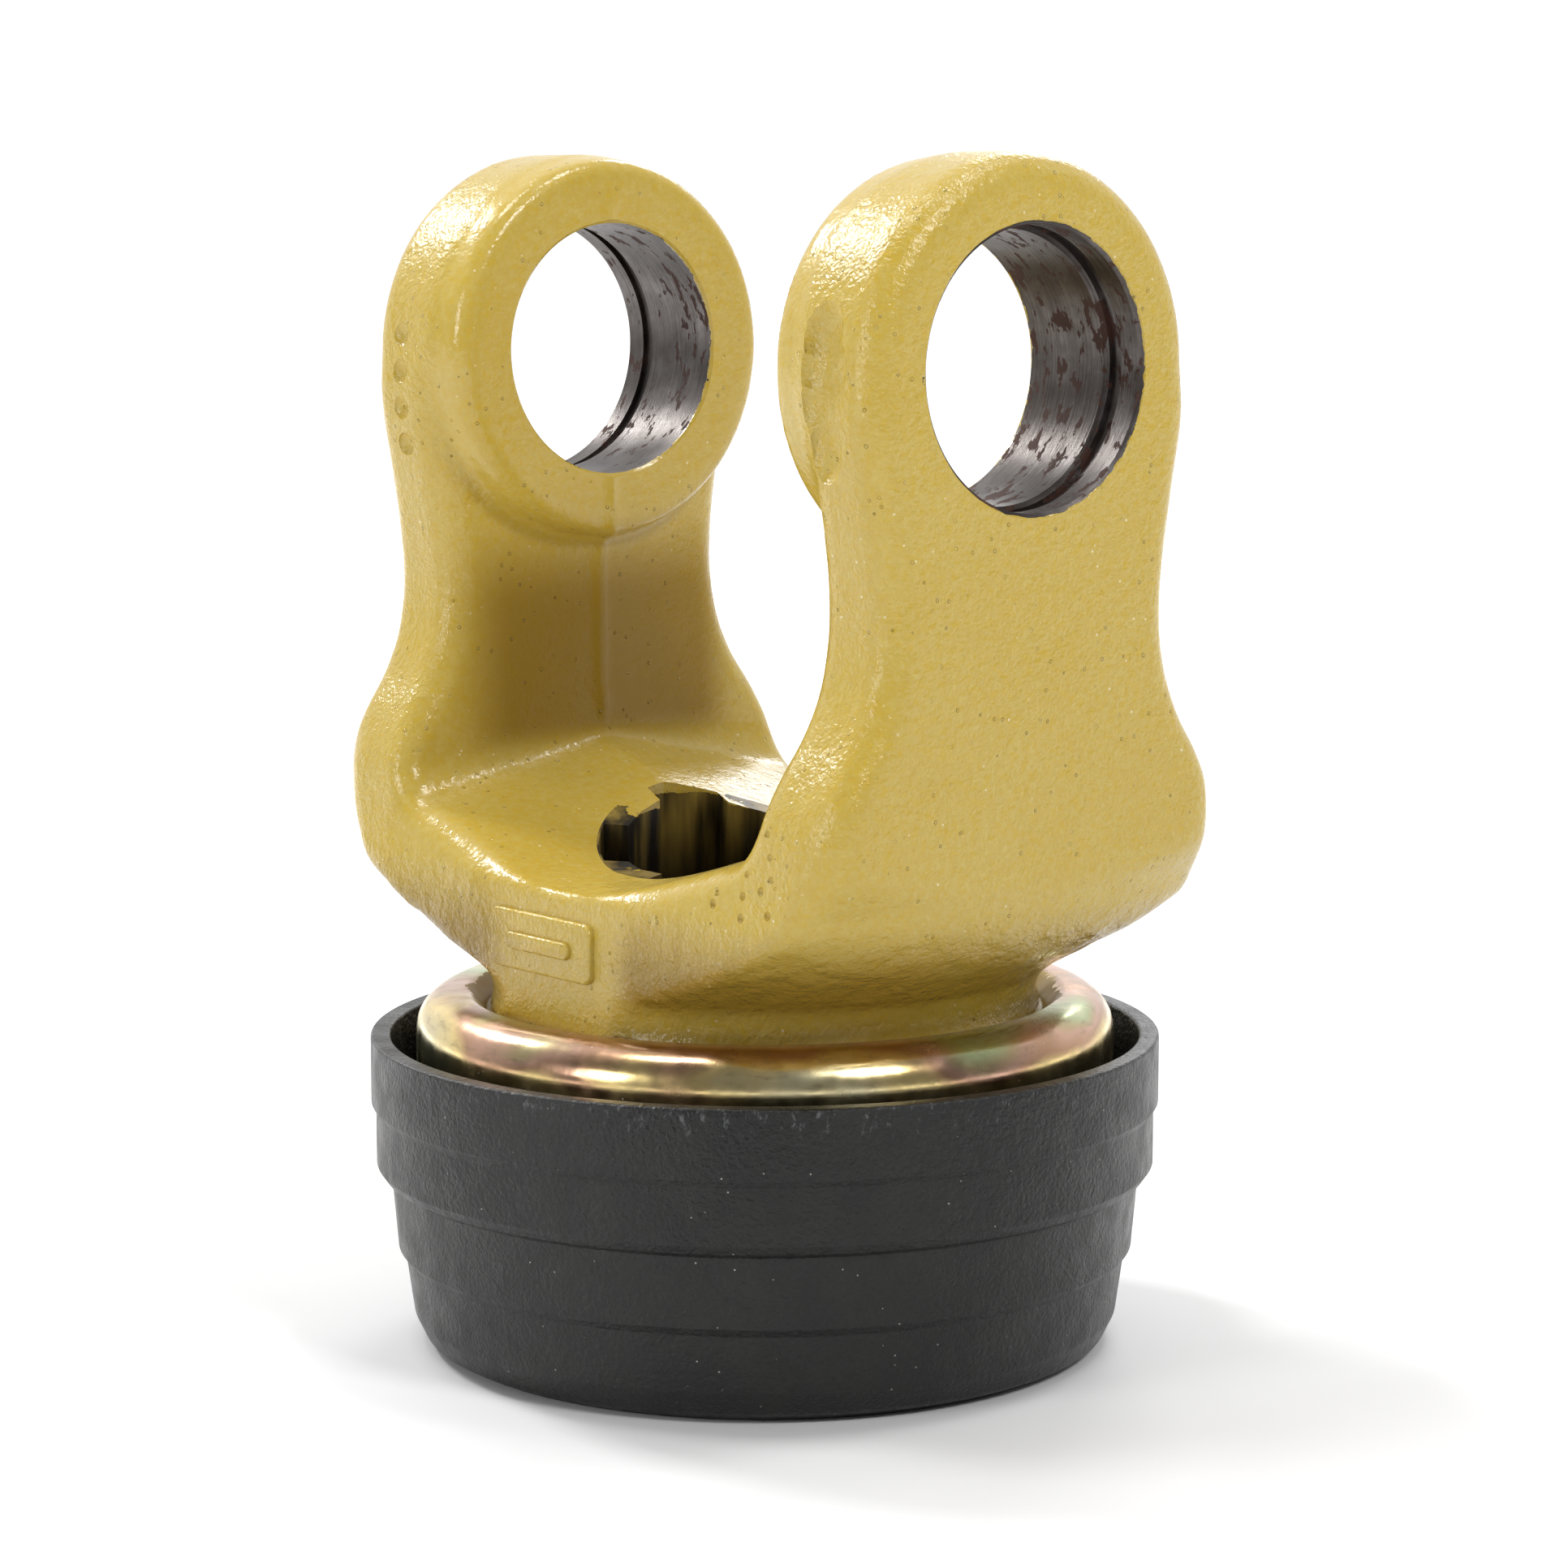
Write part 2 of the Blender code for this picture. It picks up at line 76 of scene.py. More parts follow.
# Forging.
PITCH = 0.6  # of the field's grid
EAR_OUTER = YOKE_HIGH.y
EAR_RADIUS = 20.9
BORE_HEIGHT = YOKE_HIGH.z - EAR_RADIUS
EAR_INNER = 25.9
EAR_EDGE = 3.2  # rounding of the ears' outer edges
CRISP_EDGE = 1.1  # rounding of the underside's edges with the flanks
INNER_EDGE = 3.4  # rounding of the ears' inner edges
LIP_EDGE = 2.4  # rounding of the fork's lip
BOSS_RADIUS = 20.2
BOSS_DRAFT = 0.12
BOSS_EDGE = 1.6
BOSS_FILLET = 1.1
FLOOR_HEIGHT = 52.0
FLOOR_FLAT = 1.5
FLOOR_SOFTNESS = 2.0
FLOOR_SOFTENING = 0.27  # how much softer its bend gets for each millimetre towards the flanks
FLOOR_RISE = 0.38
FLOOR_RISE_LOSS = 0.0025  # how much flatter the ramp gets for each millimetre towards the flanks
FLOOR_DRAFT = 0.06
CREASE_HEIGHT = 61.5
CREASE_RADIUS = 0.8
CREASE_GROWTH = 0.12  # of its radius for each millimetre towards the flanks
WALL_INNER = 28.6
WALL_SLOPE_LOW = 0.05
WALL_SLOPE_HIGH = 0.13
WALL_RIDGE_ROUNDING = 1.0
UNDERSIDE_BLEND = 6.5  # rounding between the ears' outer faces and the underside
NECK_RADIUS = 28.7
NECK_FOOT = 35.54
NECK_FLARE = 0.8  # skirt of paint where the neck meets the cap
NECK_FLARE_HEIGHT = 0.7  # over which it fades by about two thirds
NECK_FILLET = 1.3
HUB_RADIUS = 25.0
PARTING_HEIGHT = 0.38  # of the parting line's ridge
PARTING_WIDTH = 0.55
WAVE_DEPTH = 0.05  # of the skin's slow waves
WAVE_SIZE = 5.0
ROUGH_DEPTH = 0.20  # of the rough skin under the ears
SKIN_DEPTH = 0.02  # of the same grain elsewhere
ROUGH_SIZE = 2.3

# Heights from which, and to which, one way of shaping the forging fades in.
UNDERSIDE_FADE = (57.0, 51.0)
ROUND_EDGE_FADE = (52.0, 62.0)
INNER_EDGE_FADE = (58.0, 74.0)
BOSS_FILLET_FADE = (106.0, 98.0)
PARTING_FADE_LOW = (CREASE_HEIGHT, CREASE_HEIGHT + 4.0)
PARTING_FADE_HIGH = (BORE_HEIGHT + 18.5, BORE_HEIGHT + 15.5)
ROUGH_FADE = (52.0, 46.0)
OUTER_FACE_FADE = (34.0, 41.0)  # this one along Y
PAST_NECK_FADE = (29.0, 33.0)  # and this one away from the axis

# Machined features.
CUP_RADIUS = 13.5
CUP_SPAN = 74.6
CUP_RING_WIDTH = 1.7
CUP_RING_RADIUS = 14.4
CUP_MOUTH_RADIUS = 13.9
SPLINE_COUNT = 6
SPLINE_MAJOR = 17.5
SPLINE_MINOR = 15.0
SPLINE_WIDTH = 8.75
SPLINE_TURN = 23.0
SPLINE_LEAD_IN = 1.6
BALL_COUNT = 3
BALL_RADIUS = 5.55
BALL_HEIGHT = 14.0
BALL_CENTRE = 20.25
BALL_CLEARANCE = 0.3
MOUTH_CHAMFER = 0.5
GROOVE_CHAMFER = 0.4
CLEARANCE = 0.3  # between neighbouring turned pieces
SMALL_BEVEL = 0.3
CLOCKING = 1.7  # degrees a cutter is turned, so that its facets cross the others' edges

ROUND_STEPS = 144
CURVE_STEPS = 6
SEED = 7

# Studio, in metres and watts.
VIEW_LEVEL = (0.6311, 0.7757)  # the level direction that the camera looks along
VIEW_PITCH = 7.99  # degrees that it looks down
CAMERA_PLACE = (-0.2806, -0.3481, 0.1217)
CAMERA_LENS = 98.5
CAMERA_SENSOR = 36.0
LIT_POINT = (0.0, 0.0, 0.07)
LIGHTS = {
    "front": ((0.02, -0.72, 0.68), (0.22, 0.22), 3.6),
    "left": ((-0.90, 0.06, 0.34), (0.26, 0.30), 2.3),
    "glare": ((0.68, 0.52, 0.58), (0.30, 0.30), 2.0),
    "top_left": ((-0.21, 0.17, 0.95), (0.17, 0.17), 2.2),
    "top_right": ((0.21, -0.17, 0.95), (0.17, 0.17), 2.2),
    "back": ((-0.13, 0.70, 0.64), (0.16, 0.12), 4.0),
}
SURROUND_TURNS = (-0.2, 0.60)  # cosines from the view's direction where the surround is dimmest and brightest
SURROUND_STRENGTHS = (0.22, 1.05)


# ---------------------------------------------------------------- outlines


def arc(centre, radius, start, end, steps):
    """Points along an arc, in degrees, as (across, up) pairs."""
    turns = [math.radians(start + (end - start) * i / steps) for i in range(steps + 1)]
    return [(centre[0] + radius * math.cos(t), centre[1] + radius * math.sin(t)) for t in turns]


def curve_through(points):
    """A smooth curve through the points."""
    padded = [points[0]] + list(points) + [points[-1]]
    found = []
    for before, start, end, after in zip(padded, padded[1:], padded[2:], padded[3:]):
        for i in range(CURVE_STEPS):
            t = i / CURVE_STEPS
            place = []
            for a, b, c, d in zip(before, start, end, after):
                bend = (2 * a - 5 * b + 4 * c - d) * t**2
                twist = (3 * b - a - 3 * c + d) * t**3
                place.append(0.5 * (2 * b + (c - a) * t + bend + twist))
            found.append(tuple(place))
    return found + [tuple(points[-1])]


def ear_side():
    """One side of the ears' outline below the head: cheek, waist and foot."""
    cheek = [(-21.2, 99.8), (-20.8, 95.8), (-19.8, 90.5)]
    waist = [(-18.8, 84.0), (-18.5, 78.5), (-19.2, 73.5), (-21.1, 69.0), (-23.7, 65.0)]
    foot = [(-25.8, 60.5), (-26.5, 55.0), (-27.4, 48.0), (-27.4, 38.5), (-27.4, 30.0)]
    return curve_through(cheek + waist + foot)


def ear_outline():
    head = arc((0.0, BORE_HEIGHT), EAR_RADIUS, 0.0, 180.0, 40)
    side = ear_side()
    return head + side + [(-across, up) for across, up in reversed(side)]


def bowl_outline():
    """The forging's outside below the ears as (radius, height), closed well outside it above."""
    under = [(48.5, 62.0), (48.2, 58.0), (47.6, 54.6), (46.2, 51.7), (44.3, 49.4), (41.4, 47.3)]
    neck = [(38.0, 45.2), (34.2, 43.2), (31.3, 41.4), (29.1, 39.8), (27.0, 38.2), (20.0, 34.0)]
    return [(-5.0, 140.0), (70.0, 140.0), (70.0, 66.0)] + curve_through(under + neck) + [(-5.0, 34.0)]


# ---------------------------------------------------------------- distance fields


def outline_distance(outline, across, up):
    """Signed distance, negative inside, from each place to a closed outline."""
    nearest = np.full(across.shape, np.inf)
    inside = np.zeros(across.shape, bool)
    for (x0, z0), (x1, z1) in zip(outline, outline[1:] + outline[:1]):
        dx, dz = x1 - x0, z1 - z0
        share = np.clip(((across - x0) * dx + (up - z0) * dz) / max(dx * dx + dz * dz, 1e-12), 0, 1)
        nearest = np.minimum(nearest, (across - x0 - share * dx) ** 2 + (up - z0 - share * dz) ** 2)
        if dz:
            inside ^= ((z0 <= up) != (z1 <= up)) & (across < x0 + (up - z0) * dx / dz)
    return np.where(inside, -1.0, 1.0) * np.sqrt(nearest)


def rounded_both(a, b, radius):
    """The space inside both fields, its edge rounded."""
    corner = np.hypot(np.maximum(radius + a, 0), np.maximum(radius + b, 0))
    return np.minimum(-radius, np.maximum(a, b)) + corner


def rounded_either(a, b, radius):
    """The space inside either field, its inner corner filled."""
    return -rounded_both(-a, -b, radius)


def ramp(values, start, end):
    """0 before start, 1 past end, smoothly between. The start may be the larger."""
    share = np.clip((values - start) / (end - start), 0, 1)
    return share * share * (3 - 2 * share)


def lumps(shape, pitch, size, seed):
    """Smooth random lumps of about that size, from -1 to 1, over a grid."""
    random = np.random.default_rng(seed)
    coarse = [int(n * pitch / size) + 3 for n in shape]
    field = random.uniform(-1, 1, coarse).astype(np.float32)
    for axis, n in enumerate(shape):
        place = np.arange(n) * pitch / size
        whole = place.astype(int)
        part = (place - whole).astype(np.float32)
        part = part * part * (3 - 2 * part)
        part = part.reshape([-1 if i == axis else 1 for i in range(3)])
        field = field.take(whole, axis) * (1 - part) + field.take(whole + 1, axis) * part
    return field


def turned_field(outline, x, y, z):
    """The distance field of an outline of (radius, height), turned about Z."""
    step, reach = 0.3, 66.0
    radii = np.arange(0.0, reach, step)
    table = outline_distance(outline, *np.meshgrid(radii, z.ravel(), indexing="ij")).astype(np.float32)
    place = np.hypot(x, y)[:, :, 0] / step
    whole = place.astype(int)
    part = (place - whole).astype(np.float32)[:, :, None]
    return table[whole] * (1 - part) + table[whole + 1] * part


def fork_gap_field(x, y, z):
    """The space between the ears: a trough with ramps up to a crease, and walls with a ridge at X = 0."""
    across, along = np.abs(x), np.abs(y)
    softness = FLOOR_SOFTNESS + FLOOR_SOFTENING * across
    run = np.sqrt(np.maximum(along - FLOOR_FLAT, 0) ** 2 + softness**2) - softness
    floor = FLOOR_HEIGHT - FLOOR_DRAFT * across + (FLOOR_RISE - FLOOR_RISE_LOSS * across) * run
    above_floor = (floor - z) * math.cos(math.atan(FLOOR_RISE))
    share = np.clip((z - CREASE_HEIGHT) / (BORE_HEIGHT - BOSS_RADIUS - CREASE_HEIGHT), 0, 1)
    slope = WALL_SLOPE_LOW + (WALL_SLOPE_HIGH - WALL_SLOPE_LOW) * share
    ridge = np.sqrt(across**2 + WALL_RIDGE_ROUNDING**2) - WALL_RIDGE_ROUNDING
    between_walls = along - (WALL_INNER + slope * ridge)
    return rounded_both(between_walls, above_floor, CREASE_RADIUS + CREASE_GROWTH * across)


def boss_field(x, y, z):
    along = np.abs(y)
    disc = np.hypot(x, z - BORE_HEIGHT) - (BOSS_RADIUS + BOSS_DRAFT * (along - EAR_INNER))
    boss = rounded_both(disc, EAR_INNER - along, BOSS_EDGE)
    return np.maximum(boss, along - (EAR_OUTER - EAR_EDGE))


def forging_field(x, y, z, pitch):
    """The whole forging before machining."""
    flat_x, flat_z = np.meshgrid(x.ravel(), z.ravel(), indexing="ij")
    outline = outline_distance(ear_outline(), flat_x, flat_z).astype(np.float32)[:, None, :]
    blend = CRISP_EDGE + (UNDERSIDE_BLEND - CRISP_EDGE) * ramp(z, *UNDERSIDE_FADE)
    outside = rounded_both(np.abs(y) - EAR_OUTER, turned_field(bowl_outline(), x, y, z), blend)
    round_share = np.maximum(ramp(z, *ROUND_EDGE_FADE), ramp(np.abs(y), *OUTER_FACE_FADE))
    edge = CRISP_EDGE + (EAR_EDGE - CRISP_EDGE) * round_share
    body = rounded_both(outline, outside, edge)
    uneven = 1 + lumps(body.shape, pitch, 3.0, SEED)
    skirt = NECK_FLARE * np.exp(-np.maximum(z - NECK_FOOT, 0) / NECK_FLARE_HEIGHT) * uneven
    neck = np.hypot(x, y) - NECK_RADIUS - skirt
    neck = np.maximum(neck, z - (FLOOR_HEIGHT + 6.0))
    body = rounded_either(body, neck, NECK_FILLET)
    inner = LIP_EDGE + (INNER_EDGE - LIP_EDGE) * ramp(z, *INNER_EDGE_FADE)
    body = rounded_both(body, -fork_gap_field(x, y, z), inner)
    fillet = 0.05 + BOSS_FILLET * ramp(z, *BOSS_FILLET_FADE)
    body = rounded_either(body, boss_field(x, y, z), fillet)
    wander = 0.7 * lumps(body.shape, pitch, WAVE_SIZE, SEED + 2)
    parting = PARTING_HEIGHT * np.exp(-(((x - wander) / PARTING_WIDTH) ** 2)) * (np.abs(y) < EAR_OUTER - 4)
    parting *= ramp(z, *PARTING_FADE_HIGH)
    body -= parting * ramp(z, *PARTING_FADE_LOW)
    body = np.maximum(body, outline)
    rough = ramp(z, *ROUGH_FADE) * ramp(np.hypot(x, y), *PAST_NECK_FADE)
    body += WAVE_DEPTH + WAVE_DEPTH * lumps(body.shape, pitch, WAVE_SIZE, SEED)
    body += (SKIN_DEPTH + ROUGH_DEPTH * rough) * lumps(body.shape, pitch, ROUGH_SIZE, SEED + 1)
    body = np.maximum(body, np.abs(y) - EAR_OUTER + 0.02)
    return np.maximum(body, NECK_FOOT - z)


def surface_of(field, lowest, pitch):
    """Points and quads where the field is zero: one point in each grid cell that the surface crosses."""
    inside = field < 0
    size = np.array(field.shape) - 1
    corners = [(i, j, k) for i in (0, 1) for j in (0, 1) for k in (0, 1)]
    count = np.zeros(size, np.int8)
    for i, j, k in corners:
        count += inside[i : i + size[0], j : j + size[1], k : k + size[2]]
    crossed = (count > 0) & (count < 8)
    cells = np.argwhere(crossed)
    index = np.full(size, -1)
    index[crossed] = np.arange(len(cells))
    total = np.zeros((len(cells), 3))
    hits = np.zeros((len(cells), 1))
    for axis in range(3):
        step = np.eye(3, dtype=int)[axis]
        for corner in corners:
            if corner[axis]:
                continue
            start = cells + corner
            a = field[tuple(start.T)]
            b = field[tuple((start + step).T)]
            crosses = ((a < 0) != (b < 0))[:, None]
            share = np.where(crosses, (a / np.where(a == b, 1, a - b))[:, None], 0)
            total += crosses * (corner + share * step)
            hits += crosses
    points = lowest + pitch * (cells + total / hits)
    quads = []
    for axis in range(3):
        step = np.eye(3, dtype=int)[axis]
        sideways, upward = np.eye(3, dtype=int)[(axis + 1) % 3], np.eye(3, dtype=int)[(axis + 2) % 3]
        low = np.moveaxis(inside, axis, 0)[:-1]
        high = np.moveaxis(inside, axis, 0)[1:]
        start = np.moveaxis(np.moveaxis(low != high, 0, axis).nonzero(), 0, -1)
        ring = [start, start - sideways, start - sideways - upward, start - upward]
        quad = np.stack([index[tuple(cell.T)] for cell in ring], 1)
        leaving = inside[tuple(start.T)]
        quad[~leaving] = quad[~leaving][:, ::-1]
        quads.append(quad)
    return points, np.concatenate(quads)


# ---------------------------------------------------------------- meshes


def new_object(name, mesh):
    made = bpy.data.objects.new(name, mesh)
    bpy.context.scene.collection.objects.link(made)
    return made


def object_of(name, shape):
    """An object made from a bmesh, which is freed."""
    mesh = bpy.data.meshes.new(name)
    shape.to_mesh(mesh)
    shape.free()
    return new_object(name, mesh)


def smooth(thing, degrees=32.0):
    thing.data.shade_smooth()
    thing.data.set_sharp_from_angle(angle=math.radians(degrees))


def evaluated_mesh(thing):
    bpy.context.view_layer.update()
    graph = bpy.context.evaluated_depsgraph_get()
    return bpy.data.meshes.new_from_object(thing.evaluated_get(graph), depsgraph=graph)


def apply_all(thing):
    """Replaces the mesh by what its modifiers make of it."""
    made = evaluated_mesh(thing)
    thing.modifiers.clear()
    thing.data = made


def turned(name, profile, steps=ROUND_STEPS, closed=True):
    """A profile of (radius, height), outer side first, turned about Z."""
    mesh = bpy.data.meshes.new(name)
    edges = [(i, i + 1) for i in range(len(profile) - 1)]
    if closed:
        edges.append((len(profile) - 1, 0))
    mesh.from_pydata([(radius * MM, 0.0, height * MM) for radius, height in profile], edges, [])
    made = new_object(name, mesh)
    screw = made.modifiers.new("turn", "SCREW")
    screw.axis = "Z"
    screw.steps = steps
    screw.render_steps = steps
    screw.use_merge_vertices = True
    screw.merge_threshold = 0.00001
    apply_all(made)
    smooth(made)
    return made


def rounded_profile(corners, steps=5):
    """A profile in which each corner (radius, height, rounding) is an arc of that rounding."""
    found = []
    for i, (across, up, rounding) in enumerate(corners):
        here = Vector((across, up))
        before = Vector(corners[i - 1][:2]) - here
        after = Vector(corners[(i + 1) % len(corners)][:2]) - here
        if not rounding:
            found.append((across, up))
            continue
        half = before.angle(after) / 2
        back = rounding / math.tan(half)
        centre = here + (before.normalized() + after.normalized()).normalized() * rounding / math.sin(half)
        start = here + before.normalized() * back - centre
        end = here + after.normalized() * back - centre
        turn = start.angle_signed(end)
        for j in range(steps + 1):
            spoke = start.copy()
            spoke.rotate(Matrix.Rotation(-turn * j / steps, 2))
            found.append(tuple(centre + spoke))
    return found


def extruded(name, outline, thickness):
    """A flat outline in XY, extruded both ways along Z."""
    shape = bmesh.new()
    face = shape.faces.new([shape.verts.new((x * MM, y * MM, -thickness * MM / 2)) for x, y in outline])
    grown = bmesh.ops.extrude_face_region(shape, geom=[face])["geom"]
    lifted = [item for item in grown if isinstance(item, bmesh.types.BMVert)]
    bmesh.ops.translate(shape, verts=lifted, vec=(0, 0, thickness * MM))
    bmesh.ops.recalc_face_normals(shape, faces=shape.faces)
    return object_of(name, shape)


def soften_edges(thing):
    """Rounds the sharp edges a little."""
    bevel = thing.modifiers.new("edges", "BEVEL")
    bevel.width = SMALL_BEVEL * MM
    bevel.segments = 3
    bevel.limit_method = "ANGLE"
    apply_all(thing)


def wire(name, points, radius, sides):
    """A round wire along points in millimetres, as a mesh."""
    curve = bpy.data.curves.new(name, "CURVE")
    curve.dimensions = "3D"
    curve.bevel_depth = radius * MM
    curve.bevel_resolution = sides
    curve.use_fill_caps = True
    spline = curve.splines.new("POLY")
    spline.points.add(len(points) - 1)
    for point, place in zip(spline.points, points):
        point.co = (*[value * MM for value in place], 1.0)
    line = new_object(name + "_line", curve)
    mesh = evaluated_mesh(line)
    bpy.data.objects.remove(line)
    shape = bmesh.new()
    shape.from_mesh(mesh)
    bmesh.ops.remove_doubles(shape, verts=shape.verts, dist=0.000001)
    bmesh.ops.recalc_face_normals(shape, faces=shape.faces)
    shape.to_mesh(mesh)
    shape.free()
    return new_object(name, mesh)


def combine(thing, other, operation):
    step = thing.modifiers.new("combine", "BOOLEAN")
    step.operation = operation
    step.object = other
    step.solver = "MANIFOLD"
    apply_all(thing)
    bpy.data.objects.remove(other)


def cut(thing, cutter):
    combine(thing, cutter, "DIFFERENCE")


def unite(thing, other):
    combine(thing, other, "UNION")


# ---------------------------------------------------------------- yoke


def forging():
    """The sculpted forging as a mesh object."""
    pitch = PITCH
    half_width, margin = 31.0, 2.0
    low = np.array([-half_width, -EAR_OUTER - margin, NECK_FOOT - margin])
    high = np.array([half_width, EAR_OUTER + margin, YOKE_HIGH.z + margin])
    x, y, z = [np.arange(a, b, pitch, np.float32) for a, b in zip(low, high)]
    field = forging_field(x[:, None, None], y[None, :, None], z[None, None, :], pitch)
    points, quads = surface_of(field, low, pitch)
    mesh = bpy.data.meshes.new("yoke_forging")
    mesh.vertices.add(len(points))
    mesh.vertices.foreach_set("co", (points * MM).astype(np.float32).ravel())
    mesh.loops.add(quads.size)
    mesh.loops.foreach_set("vertex_index", quads.astype(np.int32).ravel())
    mesh.polygons.add(len(quads))
    mesh.polygons.foreach_set("loop_start", np.arange(0, quads.size, 4, dtype=np.int32))
    mesh.update(calc_edges=True)
    made = new_object("yoke_forging", mesh)
    relax = made.modifiers.new("relax", "SMOOTH")
    relax.factor = 0.5
    relax.iterations = 2
    apply_all(made)
    return made


def hub():
    """The turned lower end of the hub with the retaining ring's groove."""
    low, high = YOKE_LOW.z, NECK_FOOT + 3.0
    groove_low, groove_high = RETAINER_LOW.z - CLEARANCE, RETAINER_HIGH.z + CLEARANCE
    groove_radius, chamfer = 23.2, 0.9
    profile = [
        (0.0, high),
        (HUB_RADIUS, high),
        (HUB_RADIUS, groove_high),
        (groove_radius, groove_high),
        (groove_radius, groove_low),
        (HUB_RADIUS, groove_low),
        (HUB_RADIUS, low + chamfer),
        (HUB_RADIUS - chamfer, low),
        (0.0, low),
    ]
    return turned("hub", profile, closed=False)


def cross_bores():
    """Both ears' bores as one turned cutter, with snap ring grooves and chamfers."""
    groove = CUP_SPAN / 2
    end = EAR_OUTER + 3.0
    upper = [
        (0.0, end),
        (CUP_MOUTH_RADIUS + MOUTH_CHAMFER, end),
        (CUP_MOUTH_RADIUS + MOUTH_CHAMFER, EAR_OUTER),
        (CUP_MOUTH_RADIUS, EAR_OUTER - MOUTH_CHAMFER),
        (CUP_MOUTH_RADIUS, groove + CUP_RING_WIDTH),
        (CUP_RING_RADIUS, groove + CUP_RING_WIDTH),
        (CUP_RING_RADIUS, groove),
        (CUP_RADIUS + GROOVE_CHAMFER, groove),
        (CUP_RADIUS, groove - MOUTH_CHAMFER),
        (CUP_RADIUS, EAR_INNER + 0.3),
        (CUP_RADIUS + GROOVE_CHAMFER, EAR_INNER - 0.1),
    ]
    lower = [(radius, -height) for radius, height in reversed(upper)]
    made = turned("cross_bores", upper + lower, closed=False)
    turn = Matrix.Rotation(math.radians(90), 4, "X") @ Matrix.Rotation(math.radians(CLOCKING), 4, "Z")
    made.matrix_world = Matrix.Translation((0, 0, BORE_HEIGHT * MM)) @ turn
    return made


def spline_bore():
    """Six slots with round bottoms, and lands on the minor diameter between them."""
    half = SPLINE_WIDTH / 2
    outer = math.asin(half / SPLINE_MAJOR)
    inner = math.asin(half / SPLINE_MINOR)
    outline = []
    for i in range(SPLINE_COUNT):
        turn_of_slot = math.radians(SPLINE_TURN + 360.0 * i / SPLINE_COUNT)
        next_land = math.radians(SPLINE_TURN + 360.0 * (i + 0.5) / SPLINE_COUNT)
        slot = [turn_of_slot + outer * share for share in (-1, -0.5, 0, 0.5, 1)]
        outline.append((SPLINE_MINOR, turn_of_slot - inner))
        outline += [(SPLINE_MAJOR, turn) for turn in slot]
        outline += [(SPLINE_MINOR, turn_of_slot + inner), (SPLINE_MINOR, next_land)]
    outline = [(radius * math.cos(turn), radius * math.sin(turn)) for radius, turn in outline]
    length, middle = 120.0, 55.0
    made = extruded("spline_bore", outline, length)
    made.location.z = middle * MM
    return made


def spline_lead_in():
    """A cone that opens the bore's lower end for the shaft."""
    mouth = SPLINE_MAJOR + SPLINE_LEAD_IN
    low = YOKE_LOW.z
    below = low - 2.0
    profile = [(0.0, low + mouth), (mouth, low), (mouth, below), (0.0, below)]
    return turned("spline_lead_in", profile, closed=False)


def ball_direction(index):
    """The level direction from the axis to a ball."""
    turn = math.radians(SPLINE_TURN + 360.0 * index / BALL_COUNT)
    return Vector((math.cos(turn), math.sin(turn), 0.0))


def ball_seat(index):
    """A round-bottomed hole through the hub's wall, as a cutter."""
    radius = BALL_RADIUS + BALL_CLEARANCE
    length = HUB_RADIUS - BALL_CENTRE + 3.0
    profile = [(0.0, length), (radius, length)] + arc((0.0, 0.0), radius, 0.0, -90.0, 12)
    made = turned(f"ball_seat_{index}", profile, steps=48, closed=False)
    direction = ball_direction(index)
    centre = direction * BALL_CENTRE * MM + Vector((0, 0, BALL_HEIGHT * MM))
    made.matrix_world = Matrix.Translation(centre) @ direction.to_track_quat("Z", "Y").to_matrix().to_4x4()
    return made


def flank(height):
    """How far the ears' side faces stand from the YZ plane at a height."""
    if height > BORE_HEIGHT:
        return math.sqrt(max(EAR_RADIUS**2 - (height - BORE_HEIGHT) ** 2, 0.0))
    side = list(reversed(ear_side())) + [(-EAR_RADIUS, BORE_HEIGHT)]
    return float(np.interp(height, [up for _, up in side], [-across for across, _ in side]))


def ball_shape(name, radii, place, segments=24):
    """An ellipsoid with half-axes and a place in millimetres."""
    shape = bmesh.new()
    bmesh.ops.create_uvsphere(shape, u_segments=segments, v_segments=segments // 2, radius=1.0)
    bmesh.ops.scale(shape, verts=shape.verts, vec=Vector(radii) * MM)
    bmesh.ops.rotate(shape, verts=shape.verts, matrix=Matrix.Rotation(math.radians(CLOCKING), 3, "X"))
    made = object_of(name, shape)
    made.location = Vector(place) * MM
    return made


def punch_marks():
    """A loose cluster of fine centre-punch dents on the near flank."""
    first_y, first_z = -25.6, 51.8
    column_step, row_step = 3.4, 1.9
    random = np.random.default_rng(SEED)
    dents = []
    for row in range(5):
        for column in range(3):
            y = first_y - column_step * column + random.uniform(-1.3, 1.3)
            z = first_z + row_step * row + random.uniform(-0.7, 0.7)
            radius = random.uniform(0.40, 0.55)
            dents.append(ball_shape("dent", (radius, radius, radius), (-flank(z) - 0.25 * radius, y, z)))
    return dents


def gate_mark():
    """Rough overlapping chips that form the sunk lens left on the near ear's side."""
    middle_y, middle_z, half = -34.6, 102.2, 8.4
    chip_depth, chip_width, chip_height, facets = 1.35, 3.7, 4.4, 10
    random = np.random.default_rng(SEED + 1)
    chips = []
    for share in (-0.62, -0.22, 0.2, 0.6):
        z = middle_z + half * share
        width = chip_width * math.sqrt(1 - share**2)
        y = middle_y + random.uniform(-0.4, 0.4)
        chips.append(ball_shape("chip", (chip_depth, width, chip_height), (-flank(z) + 0.1, y, z), facets))
    return chips


